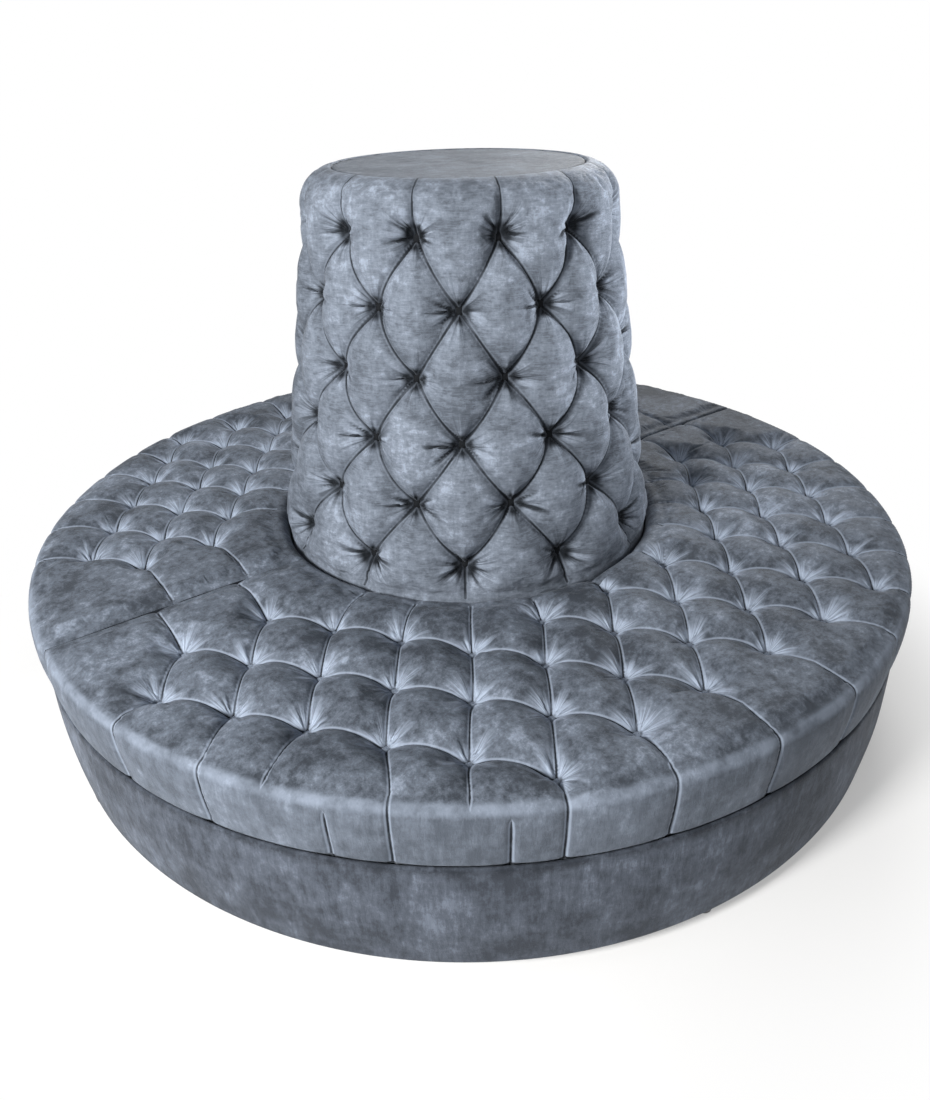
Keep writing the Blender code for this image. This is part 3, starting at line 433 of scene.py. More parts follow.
def painted_pleat_shade_and_highlights(made, base, pile):
    """Painted shade along each pleat: a thin dark line in it and, where set, a wider dark band; a painted
    highlight beside it; a painted highlight along a seat's top edge; and a seat's side evened out and painted
    slightly lighter.
    """
    crease, drop = made.attribute("crease"), made.attribute("drop")
    spots = made.noise(made.place, 24.0, 3.0)
    # Partly painted light: a seat's side is painted slightly lighter, and its mottling evened out.
    base = made.tint(made.ramp(drop, 0.010, 0.030, 0.0, 0.42), base, 1.06)
    # Painted highlight: a light band along the seat's top edge, broken up by noise.
    edge = made.times(made.ramp(drop, 0.0010, 0.006), made.ramp(drop, 0.012, 0.026, 1.0, 0.0))
    edge = made.times(edge, made.ramp(spots, 0.35, 0.65, 0.25, 0.60))
    base = made.tint(edge, base, 2.3)
    # Painted highlight: a light strip beside each pleat's line, where its ridge would catch light.
    beside = made.times(made.ramp(crease, 0.0016, 0.0030), made.ramp(crease, 0.0040, 0.0068, 1.0, 0.0))
    base = made.tint(made.times(beside, pile.ridge_highlight), base, 2.8)
    # Painted shade: a wider dark band along each pleat, where set.
    if pile.hollow:
        base = made.tint(made.ramp(crease, 0.0, 0.016, pile.hollow, 0.0), base, 0.30)
    # Painted shade: a thin dark line in each pleat's crease, broken by noise.
    line = made.times(made.ramp(crease, *pile.line, 1.0, 0.0), made.ramp(spots, 0.36, 0.56, 0.55, 0.96))
    return made.tint(line, base, 0.10)


def button_cloth(name, colour):
    """The velvet of the buttons, which keeps its pile short."""
    made = Shader(name)
    pile = made.noise(made.place, 380.0, 4.0, 0.7)
    base = made.mix(made.ramp(pile, 0.35, 0.65), shade(colour, 0.7), shade(colour, 1.3))
    return made.finish(Base_Color=base, Roughness=0.85, Normal=made.bump(pile, 0.0005, 0.6),
                       Specular_IOR_Level=0.1)


def plywood(name, colour):
    """Raw plywood or softwood with a long grain."""
    made = Shader(name)
    grain = made.stretched_noise((4.0, 60.0, 60.0), 6.0, 0.6)
    figure = made.stretched_noise((1.5, 9.0, 9.0), 3.0)
    mixed = made.plus(made.times(grain, 0.6), made.times(figure, 0.4))
    base = made.mix(made.ramp(mixed, 0.35, 0.65), shade(colour, 0.72), shade(colour, 1.12))
    return made.finish(Base_Color=base, Roughness=0.72, Normal=made.bump(grain, 0.0006, 0.6))


def moulded(name, colour, roughness, metallic=0.0):
    """Moulded plastic or zinc plate with a fine grain."""
    made = Shader(name)
    grain = made.noise(made.place, 500.0, 3.0)
    wear = made.noise(made.place, 45.0, 4.0)
    base = made.mix(made.ramp(wear, 0.35, 0.7), shade(colour, 0.85), shade(colour, 1.5))
    rough = made.ramp(wear, 0.3, 0.7, roughness - 0.08, roughness + 0.10)
    return made.finish(Base_Color=base, Roughness=rough, Normal=made.bump(grain, 0.0003, 0.5),
                       Metallic=metallic)


def dust_cloth(name):
    """Black non-woven cloth."""
    made = Shader(name)
    fibre = made.noise(made.place, 420.0, 5.0, 0.7)
    base = made.mix(fibre, (0.012, 0.012, 0.013, 1.0), (0.05, 0.05, 0.053, 1.0))
    return made.finish(Base_Color=base, Roughness=0.9, Normal=made.bump(fibre, 0.0006, 0.8))


# Sewing

def fading(distance, reach):
    """1 where the distance is nothing, falling evenly to 0 at the reach."""
    return np.clip(1.0 - distance / reach, 0.0, 1.0)


def plan_angle(point):
    """Turn of a plan point from the front bench's middle."""
    return math.atan2(point[0], -point[1])


def row_shift(row):
    """Every other row of the backrest's buttons stands half a pitch aside."""
    return 0.5 if row % 2 == 0 else 0.0


class Sewing:
    """Buttons and pleats on cloth laid flat, and how deep they draw it."""

    def __init__(self, pits, pleats, run_outs, depths, widths, fold_sizes, seed):
        self.pits = np.array(pits)
        self.starts, self.stops = (np.array(ends) for ends in zip(*pleats, *run_outs))
        self.is_run = np.array([False] * len(pleats) + [True] * len(run_outs))
        self.pit_depth, self.pleat_depth, self.run_depth = depths
        self.pleat_width, self.run_width = widths
        draw = np.random.default_rng(seed)
        count = (len(self.pits), PIT_FOLDS)
        angles = np.linspace(0.0, FULL_TURN, PIT_FOLDS, endpoint=False)
        angles = angles + draw.uniform(-FOLD_JITTER, FOLD_JITTER, count)
        self.fold_angles = angles + draw.uniform(0, FULL_TURN, (len(self.pits), 1))
        shortest, longest, sideways = fold_sizes
        lean = 1.0 + sideways * (np.abs(np.cos(self.fold_angles)) - 0.6)
        self.fold_depths = draw.uniform(*FOLD_DEPTHS, count) * lean
        self.fold_lengths = draw.uniform(shortest, longest, count) * lean
        self.pit_seeds = draw.uniform(0.0, PIT_SEED_LIMIT, len(self.pits))

    def measure(self, points):
        """Depth, gap to the nearest pleat and offset from the nearest button, for each point."""
        parts = [self.measure_some(points[index:index + BATCH]) for index in range(0, len(points), BATCH)]
        return [np.concatenate(part) for part in zip(*parts)]

    def measure_some(self, points):
        """The same for one batch of points."""
        along = self.stops - self.starts
        length = np.linalg.norm(along, axis=1)
        from_start = points[:, None] - self.starts
        share = np.clip((from_start * along).sum(2) / length ** 2, 0.0, 1.0)
        gap = np.linalg.norm(from_start - along * share[:, :, None], axis=2)
        travel = np.where(self.is_run, share, np.minimum(share, 1.0 - share)) * length
        reach = np.where(self.is_run, RUN_RISE, length / 2)
        rise = fading(travel, reach) ** 2.0
        floor = np.where(self.is_run, self.run_depth, self.pleat_depth)
        line = floor + (self.pit_depth - floor) * rise
        width = np.where(self.is_run, self.run_width, self.pleat_width)
        width = width + (self.pleat_width - width) * rise
        depth = (line * fading(gap, width) ** 2.5).max(axis=1)
        offset = points[:, None] - self.pits
        nearest = np.linalg.norm(offset, axis=2).argmin(axis=1)
        return depth, gap.min(axis=1), offset[np.arange(len(points)), nearest], nearest

    def marks(self, points):
        """How deep the sewing draws each point, and the attributes by which the velvet shows it."""
        depth, crease, away, nearest = self.measure(points)
        return depth, {"tuft": np.column_stack([away, self.pit_seeds[nearest]]), "crease": crease,
                       "reach": np.linalg.norm(away, axis=1), "fold": self.folds(away, nearest)}

    def folds(self, away, nearest):
        """Depth from 0 to 1 of the folds that run into the nearest button."""
        reach = np.linalg.norm(away, axis=1)
        angle = np.arctan2(away[:, 1], away[:, 0])
        turn = (angle[:, None] - self.fold_angles[nearest] + math.pi) % FULL_TURN - math.pi
        fade = fading(reach[:, None], self.fold_lengths[nearest]) ** 1.2
        rise = np.clip((reach - FOLD_START) / BUTTON_CLEAR, 0.0, 1.0)[:, None]
        folds = self.fold_depths[nearest] * np.exp(-(turn / FOLD_SPREAD) ** 2) * fade * rise
        return folds.sum(axis=1)


def lengthen(marks, count, **given):
    """Add the attributes of further points: those given, and else those of unsewn cloth."""
    for key, values in marks.items():
        more = given.get(key)
        if more is None:
            more = np.full((count, *values.shape[1:]), UNSEWN[key])
        marks[key] = np.concatenate([values, more])


def wander(points):
    """Small smooth sideways drift inside a seat's edges, so that no two diamonds are quite alike."""
    x, y = points[:, 0], points[:, 1]
    drift_x = np.sin(17.0 * x + 9.0 * y + 0.7) + 0.6 * np.sin(31.0 * y - 13.0 * x + 2.1)
    drift_y = np.sin(15.0 * y - 11.0 * x + 1.9) + 0.6 * np.sin(29.0 * x + 17.0 * y + 0.3)
    room = np.clip(edge_room(points) / DRIFT_ROOM, 0.0, 1.0)
    return DRIFT * np.stack([drift_x, drift_y], axis=1) * room[:, None]


def unevenness(points):
    """Slow rise and fall of the stuffing, from -1 to 1."""
    x, y = points[:, 0], points[:, 1]
    return 0.5 * np.sin(9.0 * x + 4.0 * y + 1.1) + 0.5 * np.sin(13.0 * y - 7.0 * x + 0.4)


# Meshes

def add_object(name, data):
    """A new object in the scene, at the origin."""
    item = bpy.data.objects.new(name, data)
    bpy.context.scene.collection.objects.link(item)
    return item


def mesh_piece(name, verts, faces, material, attributes=None):
    """A smooth mesh object with its material and attributes."""
    mesh = bpy.data.meshes.new(name)
    mesh.from_pydata([tuple(vert) for vert in verts], [], faces)
    for key, values in (attributes or {}).items():
        kind = "FLOAT_VECTOR" if values.ndim == 2 else "FLOAT"
        layer = mesh.attributes.new(key, kind, "POINT")
        layer.data.foreach_set("vector" if values.ndim == 2 else "value", values.astype(np.float32).ravel())
    if material:
        mesh.materials.append(material)
    mesh.shade_smooth()
    return add_object(name, mesh)


def ring_links(count):
    """Edges that close a ring of points, as pairs of their numbers."""
    return [(index, (index + 1) % count) for index in range(count)]


def ring_faces(first, second):
    """Quads between two closed rings of points, given as their numbers."""
    return [(first[index], first[after], second[after], second[index])
            for index, after in ring_links(len(first))]


def tube_faces(rings):
    """Quads between each two rings of a row of rings."""
    return [face for first, second in zip(rings, rings[1:]) for face in ring_faces(first, second)]


def rings_of(wide, start, stop):
    """Rings of equally many points, as their numbers."""
    return [range(first, first + wide) for first in range(start, stop, wide)]


def rework(piece, job):
    """Change a whole mesh with one bmesh job."""
    bm = bmesh.new()
    bm.from_mesh(piece.data)
    job(bm)
    bm.to_mesh(piece.data)
    bm.free()


def point_outwards(piece):
    """Turn every face of a closed mesh outwards."""
    rework(piece, lambda bm: bmesh.ops.recalc_face_normals(bm, faces=bm.faces))


def join_doubles(piece):
    """Join points that lie on each other, and drop the faces that close up with them."""
    rework(piece, lambda bm: bmesh.ops.remove_doubles(bm, verts=bm.verts, dist=SAME_PLACE))


def plan_point(radius, angle):
    """Plan point at an angle from the front bench's middle."""
    return np.array([radius * math.sin(angle), -radius * math.cos(angle)])


def spaced(stops, spacing):
    """Values between the stops, no further apart than the spacing, and closer together beside a stop."""
    low_end, high_end = stops[0], stops[-1]
    near = [stop + side * share * spacing
            for stop in stops[1:-1] for side in (-1, 1) for share in NEAR_SHARES]
    stops = sorted(stops + [value for value in near if low_end < value < high_end])
    result = []
    for low, high in zip(stops, stops[1:]):
        count = max(1, math.ceil((high - low) / spacing))
        result += [low + (high - low) * index / count for index in range(count)]
    return result + [stops[-1]]


def seat_lattice(pitches):
    """Buttons of one bench, keyed by row and column."""
    column_pitch, row_pitch, first_row = pitches
    buttons = {}
    for row, (first, last) in enumerate(ROW_BUTTONS):
        for index in range(int(2 * last) + 1):
            column = index - last
            if abs(column) >= first:
                buttons[row, column] = np.array([column * column_pitch, -first_row - row * row_pitch])
    return buttons


def diagonals(buttons):
    """Pleats from each button to the two in the next row."""
    return [(button, buttons[row + 1, column + step]) for (row, column), button in buttons.items()
            for step in (-0.5, 0.5) if (row + 1, column + step) in buttons]


def seat_runs(buttons, side):
    """The buttons whose pleats run out to each edge of a seat's top."""
    runs = {"outer": [], "inner": [], "joint": []}
    for (row, column), button in buttons.items():
        missing = [(row + up, column + step) for up in (-1, 1) for step in (-0.5, 0.5)
                   if row + up >= 0 and (row + up, column + step) not in buttons]
        outwards = [key for key in missing
                    if key[0] >= len(ROW_BUTTONS) or abs(key[1]) > ROW_BUTTONS[key[0]][1]]
        if outwards:
            turn = math.radians(PLEAT_TURNS[side].get((row, column), 0.0))
            angle = plan_angle(button) + turn
            runs["outer"].append((button, angle, (row, column) not in TOP_ONLY_PLEATS[side]))
        if len(missing) > len(outwards) and np.hypot(*button) < (INNER_RADIUS + BULGE_RADIUS) / 2:
            runs["inner"].append(button)
        if row == 0:
            runs["joint"].append(button)
    return runs


def top_loop(runs, outer_stops):
    """Edge of a seat's top: plan points in order, each with the sides that it belongs to."""
    loop = []

    def arc(radius, side, way):
        limit = QUARTER_TURN - math.asin(JOINT_TOP / radius)
        stops = sorted(outer_stops if side == "outer" else map(plan_angle, runs[side]))
        angles = spaced([-limit] + stops + [limit], EDGE_SPACING / radius)[::way]
        for index, angle in enumerate(angles):
            corner = index in (0, len(angles) - 1)
            loop.append((plan_point(radius, angle), {side, "joint"} if corner else {side}))

    def end(start, stop, side):
        reach = [math.sqrt(radius ** 2 - JOINT_TOP ** 2) for radius in (start, stop)]
        stops = sorted(abs(button[0]) for button in runs["joint"] if button[0] * side > 0)
        places = spaced([min(reach)] + stops + [max(reach)], EDGE_SPACING)
        places = places if start < stop else places[::-1]
        loop.extend((np.array([side * place, -JOINT_TOP]), {"joint"}) for place in places[1:-1])

    arc(TOP_LIMIT_RADIUS, "outer", 1)
    end(TOP_LIMIT_RADIUS, INNER_TOP_RADIUS, 1)
    arc(INNER_TOP_RADIUS, "inner", -1)
    end(INNER_TOP_RADIUS, TOP_LIMIT_RADIUS, -1)
    return loop


def run_out_ends(runs):
    """Pleats from the last buttons to the edges of a seat's top, and on down its side."""
    made = [(button, plan_point(TOP_LIMIT_RADIUS, angle)) for button, angle, _ in runs["outer"]]
    made += [(button, button * INNER_TOP_RADIUS / np.hypot(*button)) for button in runs["inner"]]
    return made + [(button, np.array([button[0], -JOINT_TOP])) for button in runs["joint"]]


def gathered(share):
    """Spaces a grid more closely towards the buttons at both ends of a cell."""
    return share - GATHER * np.sin(FULL_TURN * share)


def cell_steps(first, last, count):
    """Gathered steps in each cell of a row of cells."""
    return (np.arange(first, last)[:, None] + gathered(np.arange(count) / count)).ravel()


def cell_points(pitches):
    """Grid in step with the buttons, so that each pleat runs along its diagonals."""
    column_pitch, row_pitch, first_row = pitches
    columns = int(BULGE_RADIUS // (column_pitch / 2)) + 1
    rows = int(BULGE_RADIUS // row_pitch) + 2
    across = cell_steps(-columns, columns, CELL_STEPS) * column_pitch / 2
    down = -first_row - cell_steps(-3, rows, CELL_STEPS) * row_pitch
    grid = np.stack(np.meshgrid(across, down, indexing="ij"), axis=2).reshape(-1, 2)
    radius = np.hypot(*grid.T)
    margin = EDGE_SPACING * 0.6
    inside = (radius < TOP_LIMIT_RADIUS - margin) & (radius > INNER_TOP_RADIUS + margin)
    return grid[inside & (-grid[:, 1] > JOINT_TOP + margin)]


def line_gap(points, start, stop):
    """Distance of each point from a straight pleat."""
    along = stop - start
    share = np.clip((points - start) @ along / (along @ along), 0.0, 1.0)
    return np.linalg.norm(points - start - share[:, None] * along, axis=1)


def crown_height(radius):
    """Height of the stuffed seat at a radius, before any sewing."""
    past = np.clip((radius - EDGE_START_RADIUS) / (BULGE_RADIUS - EDGE_START_RADIUS), 0.0, 1.0)
    return BULGE_HEIGHT + (SEAT_TOP - BULGE_HEIGHT) * (1.0 - past ** EDGE_FULLNESS) ** (1 / EDGE_FULLNESS)


def side_profile():
    """Outer profile of the seat from the limit of its top down to its underside, as radius and height."""
    wide, tall = BULGE_RADIUS - EDGE_START_RADIUS, SEAT_TOP - BULGE_HEIGHT
    power = 2 / EDGE_FULLNESS
    first = math.asin(((TOP_LIMIT_RADIUS - EDGE_START_RADIUS) / wide) ** (1 / power))
    points = [(EDGE_START_RADIUS + wide * math.sin(angle) ** power,
               BULGE_HEIGHT + tall * max(math.cos(angle), 0.0) ** power)
              for angle in np.linspace(first, QUARTER_TURN, 15)[1:]]
    for share in np.linspace(0.0, 1.0, 11)[1:]:
        points.append((BULGE_RADIUS - (BULGE_RADIUS - SEAT_HEM_RADIUS) * share ** 1.5,
                       BULGE_HEIGHT - (BULGE_HEIGHT - SEAT_HEM_HEIGHT) * share))
    for angle in np.linspace(0.0, QUARTER_TURN, 7)[1:]:
        points.append((SEAT_HEM_RADIUS - SEAT_HEM_ROLL * (1.0 - math.cos(angle)),
                       SEAT_HEM_HEIGHT - SEAT_HEM_ROLL * math.sin(angle)))
    return points + [(SEAT_FOOT_RADIUS, SEAT_BOTTOM)]


def rolled(drop, width, depth):
    """How far a rolled edge still stands back at a drop below its top."""
    rise = min(drop / depth, 1.0)
    return width * (1.0 - math.sqrt(max(0.0, 1.0 - (1.0 - rise) ** 2)))


def plan_key(point):
    """A plan point rounded, to tell whether two are the same."""
    return tuple(np.round(point, PLAN_DIGITS))


def make_seat(name, side, material, sizes, seed):
    """One deep-buttoned half-round cushion, and the places of its buttons."""
    pitches = SEAT_LATTICES[side]
    buttons = seat_lattice(pitches)
    pleats, runs = diagonals(buttons), seat_runs(buttons, side)
    run_outs = run_out_ends(runs)
    low = [math.radians(angle) for angle in SIDE_ONLY_PLEATS[side]]
    loop = top_loop(runs, [angle for _, angle, _ in runs["outer"]] + low)
    down = [angle for _, angle, goes_down in runs["outer"] if goes_down]
    short = [angle for _, angle, goes_down in runs["outer"] if not goes_down] or down
    sewing = Sewing(list(buttons.values()), pleats, run_outs,
                    (sizes.seat_pit, sizes.seat_pleat, sizes.side_pleat), SEAT_PLEAT_WIDTHS,
                    SEAT_FOLDS, seed)
    grid = cell_points(pitches)
    for start, stop in run_outs:
        grid = grid[line_gap(grid, start, stop) > CLEAR_OF_LINE]
    places = [point for point, _ in loop]
    links = ring_links(len(loop))
    near = {plan_key(point): index for index, point in enumerate(places)}

    def index_of(point):
        key = plan_key(point)
        if key not in near:
            near[key] = len(places)
            places.append(point)
        return near[key]

    steps = gathered(np.linspace(0.0, 1.0, CELL_STEPS + 1))
    for start, stop in pleats:
        chain = [index_of(start + (stop - start) * step) for step in steps]
        links += zip(chain, chain[1:])
    for start, stop in run_outs:
        count = math.ceil(np.linalg.norm(stop - start) / LINE_SPACING)
        chain = [index_of(start + (stop - start) * step / count) for step in range(count + 1)]
        links += zip(chain, chain[1:])
    places += [point for point in grid if plan_key(point) not in near]
    verts, _, faces, *_ = delaunay_2d_cdt([Vector(place) for place in places], links,
                                          [list(range(len(loop)))], 1, SAME_PLAN_PLACE)
    flat = np.array([tuple(vert) for vert in verts])
    depth, marks = sewing.marks(flat)
    radius = np.hypot(*flat.T)
    height = crown_height(radius) - depth + sizes.unevenness * unevenness(flat)
    # The drop below the top is kept as an attribute that places the painted highlight along the seat's edge
    # and its slightly lighter painted side.
    marks["drop"] = SEAT_TOP - crown_height(radius)
    top = np.column_stack([flat + wander(flat), height])
    edge = [int(np.argmin(np.hypot(*(flat - point).T))) for point, _ in loop]
    faces = [tuple(face) for face in faces]
    rings, creases, drops = add_side(loop, edge, top, faces, (down, low, short), sizes)
    points = np.concatenate([top] + rings)
    lengthen(marks, len(points) - len(top), crease=np.concatenate(creases), drop=np.concatenate(drops))
    piece = mesh_piece(name, points, faces, material, marks)
    point_outwards(piece)
    settle(piece, seat_hold(points, marks), SEAT_SETTLE_LIMIT)
    crimp(piece, sizes.pucker * marks["fold"])
    turned = side == "rear"
    if turned:
        write_points(piece.data, read_points(piece.data) * HALF_TURN)
    floor = crown_height(np.hypot(*sewing.pits.T)) - sewing.pit_depth
    floor += sizes.unevenness * unevenness(sewing.pits)
    places = np.column_stack([sewing.pits + wander(sewing.pits), floor])
    return piece, places * HALF_TURN if turned else places


def edge_room(points):
    """Distance from a seat's nearest edge."""
    radius = np.hypot(*points.T)
    return np.minimum.reduce([TOP_LIMIT_RADIUS - radius, radius - INNER_TOP_RADIUS,
                              -points[:, 1] - JOINT_TOP])


def side_groove(gap, sizes):
    """Depth of a pleat on the side at a distance from its line."""
    line, hollow = fading(gap, SIDE_LINE_WIDTH) ** 1.4, fading(gap, SIDE_HOLLOW_WIDTH) ** 2.0
    return sizes.side_pleat * (line + SIDE_HOLLOW * hollow)


def add_side(loop, edge, top, faces, pleats, sizes):
    """Side and flat underside below a seat's top: rings of points, with their creases and drops."""
    rim = top[edge]
    sunk = crown_height(np.hypot(*rim[:, :2].T)) - rim[:, 2]
    start = crown_height(TOP_LIMIT_RADIUS)
    angles = np.array([plan_angle(point) for point, _ in loop])
    down_gap, low_gap, short_gap = (np.abs(angles[:, None] - stops).min(axis=1) * BULGE_RADIUS
                                     for stops in pleats)
    outer, inner, joint = (np.array([side in sides for _, sides in loop])
                           for side in ("outer", "inner", "joint"))
    plan = np.array([point for point, _ in loop])
    radius = np.hypot(*plan.T)
    corner = PLAN_CORNER_DEPTH * fading(-plan[:, 1] - JOINT_GAP, PLAN_CORNER_WIDTH) ** 2
    above = list(edge)
    count = len(top)
    rings, creases, drops = [], [], []
    for outer_radius, outer_height in side_profile():
        drop = (start - outer_height) * (SEAT_TOP - SEAT_BOTTOM) / (start - SEAT_BOTTOM)
        fade = math.exp(-drop / SIDE_FADE)
        below = min(max((SIDE_ONLY_START - outer_height) / SIDE_ONLY_FADE, 0.0), 1.0)
        tied = min((outer_height - SEAT_BOTTOM) / SIDE_TIED, 1.0)
        groove = np.maximum(side_groove(down_gap, sizes), side_groove(low_gap, sizes) * below) * tied
        place = plan.copy()
        place[outer] *= ((outer_radius - (groove + corner) * (1.0 - fade)) / radius)[outer, None]
        back = rolled(drop, INNER_ROLL_WIDTH, INNER_ROLL_DROP)
        place[inner] *= ((INNER_RADIUS + back) / radius)[inner, None]
        place[joint, 1] = -JOINT_GAP - rolled(drop, JOINT_ROLL, JOINT_ROLL)
        level = np.where(outer & ~joint, outer_height, SEAT_TOP - drop) - sunk * fade
        level = np.maximum(level, SEAT_BOTTOM)
        rings.append(np.column_stack([place, level]))
        gap = np.minimum(down_gap, low_gap + LINE_TAPER * (1.0 - below))
        gap = np.minimum(gap, short_gap + LINE_TAPER * min(drop / TOP_ONLY_DROP, 1.0))
        gap = np.where(outer, np.minimum(gap, FAR), FAR)
        # Painted shade: deep in the crack between the benches the crease gap is set to 0, so the velvet
        # paints it as a dark line.
        creases.append(np.where(joint & (drop > JOINT_ROLL / 2), 0.0, gap))
        # The side's drops place the painted highlight along the edge and the slightly lighter painted side.
        drops.append(np.where(outer, SEAT_TOP - outer_height, 0.0))
        ring = list(range(count, count + len(loop)))
        count += len(loop)
        faces.extend(ring_faces(above, ring))
        above = ring
    foot = [Vector(place[:2]) for place in rings[-1]]
    _, _, under, origin, *_ = delaunay_2d_cdt(foot, ring_links(len(foot)), [list(range(len(foot)))], 1, 0.0)
    names = [source[0] for source in origin]
    faces.extend(tuple(above[names[index]] for index in face[::-1]) for face in under)
    return rings, creases, drops


def sewn_hold(marks):
    """How firmly buttons and pleats hold each point of a cover, from 0 to 1."""
    return np.maximum(fading(marks["reach"] - BUTTON_CLEAR, BUTTON_CLEAR),
                      PLEAT_HOLD * fading(marks["crease"], PLEAT_HOLD_WIDTH))


def seat_hold(points, marks):
    """How firmly each point of a seat's cloth is held, from 0 to 1."""
    radius = np.hypot(points[:, 0], points[:, 1])
    room = np.minimum(radius - INNER_TOP_RADIUS, np.abs(points[:, 1]) - JOINT_TOP)
    rim = np.clip((radius - TOP_LIMIT_RADIUS + RIM_HOLD_WIDTH / 2) / RIM_HOLD_WIDTH, 0.0, 1.0)
    held = np.maximum.reduce([sewn_hold(marks), fading(room, EDGE_HOLD), RIM_HOLD * rim])
    return np.where(points[:, 2] < SEAT_HEM_HEIGHT + HEM_HOLD, 1.0, held)


def settle(piece, held, furthest):
    """Cloth simulation: the stuffing fills the cover out between the points that hold it."""
    group = piece.vertex_groups.new(name="held")
    level = np.round(held * HOLD_LEVELS).astype(int)
    for step in range(1, HOLD_LEVELS + 1):
        chosen = np.flatnonzero(level == step).tolist()
        if chosen:
            group.add(chosen, step / HOLD_LEVELS, "REPLACE")
    cloth = piece.modifiers.new("settle", "CLOTH")
    values = {"quality": 5, "mass": 0.003, "tension_stiffness": 20.0, "compression_stiffness": 20.0,
              "shear_stiffness": 8.0, "bending_stiffness": 0.002, "bending_damping": 0.5,
              "vertex_group_mass": group.name, "pin_stiffness": 2.0, "use_pressure": True,
              "uniform_pressure_force": STUFFING_PRESSURE, "vertex_group_shrink": group.name,
              "shrink_min": -SPARE_CLOTH, "shrink_max": 0.0}
    for key, value in values.items():
        setattr(cloth.settings, key, value)
    cloth.settings.effector_weights.gravity = 0.0
    cloth.collision_settings.use_collision = False
    cloth.point_cache.frame_end = SETTLE_FRAMES
    scene = bpy.context.scene
    for step in range(1, SETTLE_FRAMES + 1):
        scene.frame_set(step)
    evaluated = piece.evaluated_get(bpy.context.evaluated_depsgraph_get())
    before, after = read_points(piece.data), read_points(evaluated.data)
    piece.modifiers.remove(cloth)
    piece.vertex_groups.remove(group)
    scene.frame_set(1)
    move = after - before
    size = np.maximum(np.linalg.norm(move, axis=1), 1e-9)
    write_points(piece.data, before + move * np.minimum(furthest / size, 1.0)[:, None])


def crimp(piece, depth):
    """Draw folds into a cover along its own normals, as deep as given for each point."""
    normals = np.empty(len(piece.data.vertices) * 3, np.float32)
    piece.data.vertex_normals.foreach_get("vector", normals)
    write_points(piece.data, read_points(piece.data) - normals.reshape(-1, 3) * depth[:, None])


def read_points(mesh):
    """Places of a mesh's points."""
    values = np.empty(len(mesh.vertices) * 3, np.float32)
    mesh.vertices.foreach_get("co", values)
    return values.reshape(-1, 3).astype(float)


def write_points(mesh, points):
    """Move a mesh's points."""
    mesh.vertices.foreach_set("co", points.astype(np.float32).ravel())
    mesh.update()


# Backrest drum

def drum_radius(height):
    """Radius of the drum's crowns at a height on its flank."""
    share = (height - DRUM_WIDE_HEIGHT) / (DRUM_SHOULDER_HEIGHT - DRUM_WIDE_HEIGHT)
    return DRUM_WIDE_RADIUS + (DRUM_SHOULDER_RADIUS - DRUM_WIDE_RADIUS) * share


def drum_profile():
    """Outer profile of the drum from its rim down, as radius and height."""
    wide = DRUM_SHOULDER_RADIUS - DRUM_CREST_RADIUS
    tall = DRUM_TOP - DRUM_SHOULDER_HEIGHT
    points = [(PAD_RADIUS + 0.0006, PAD_HEIGHT - 0.012), (PAD_RADIUS + 0.0010, PAD_HEIGHT + 0.0010),
              (PAD_RADIUS + 0.0030, PAD_HEIGHT + 0.0040)]
    for share in np.linspace(0.0, 1.0, 30):
        angle = QUARTER_TURN * share
        points.append((DRUM_CREST_RADIUS + wide * math.sin(angle) ** 0.95,
                       DRUM_SHOULDER_HEIGHT + tall * max(math.cos(angle), 0.0) ** 0.95))
    heights = list(DRUM_FIRST_ROW - cell_steps(0, DRUM_ROWS - 1, DRUM_STEPS) * DRUM_ROW_PITCH)
    last = DRUM_FIRST_ROW - (DRUM_ROWS - 1) * DRUM_ROW_PITCH
    heights += list(np.linspace(last, DRUM_WIDE_HEIGHT, 9))
    points += [(drum_radius(height), height) for height in heights]
    points += [(DRUM_WIDE_RADIUS - 0.0004, 0.4170), (DRUM_WIDE_RADIUS - 0.0012, 0.4090),
               (DRUM_TUCK_RADIUS, DRUM_TUCK_HEIGHT), (DRUM_TUCK_RADIUS, DRUM_FOOT_HEIGHT)]
    return np.array(points)


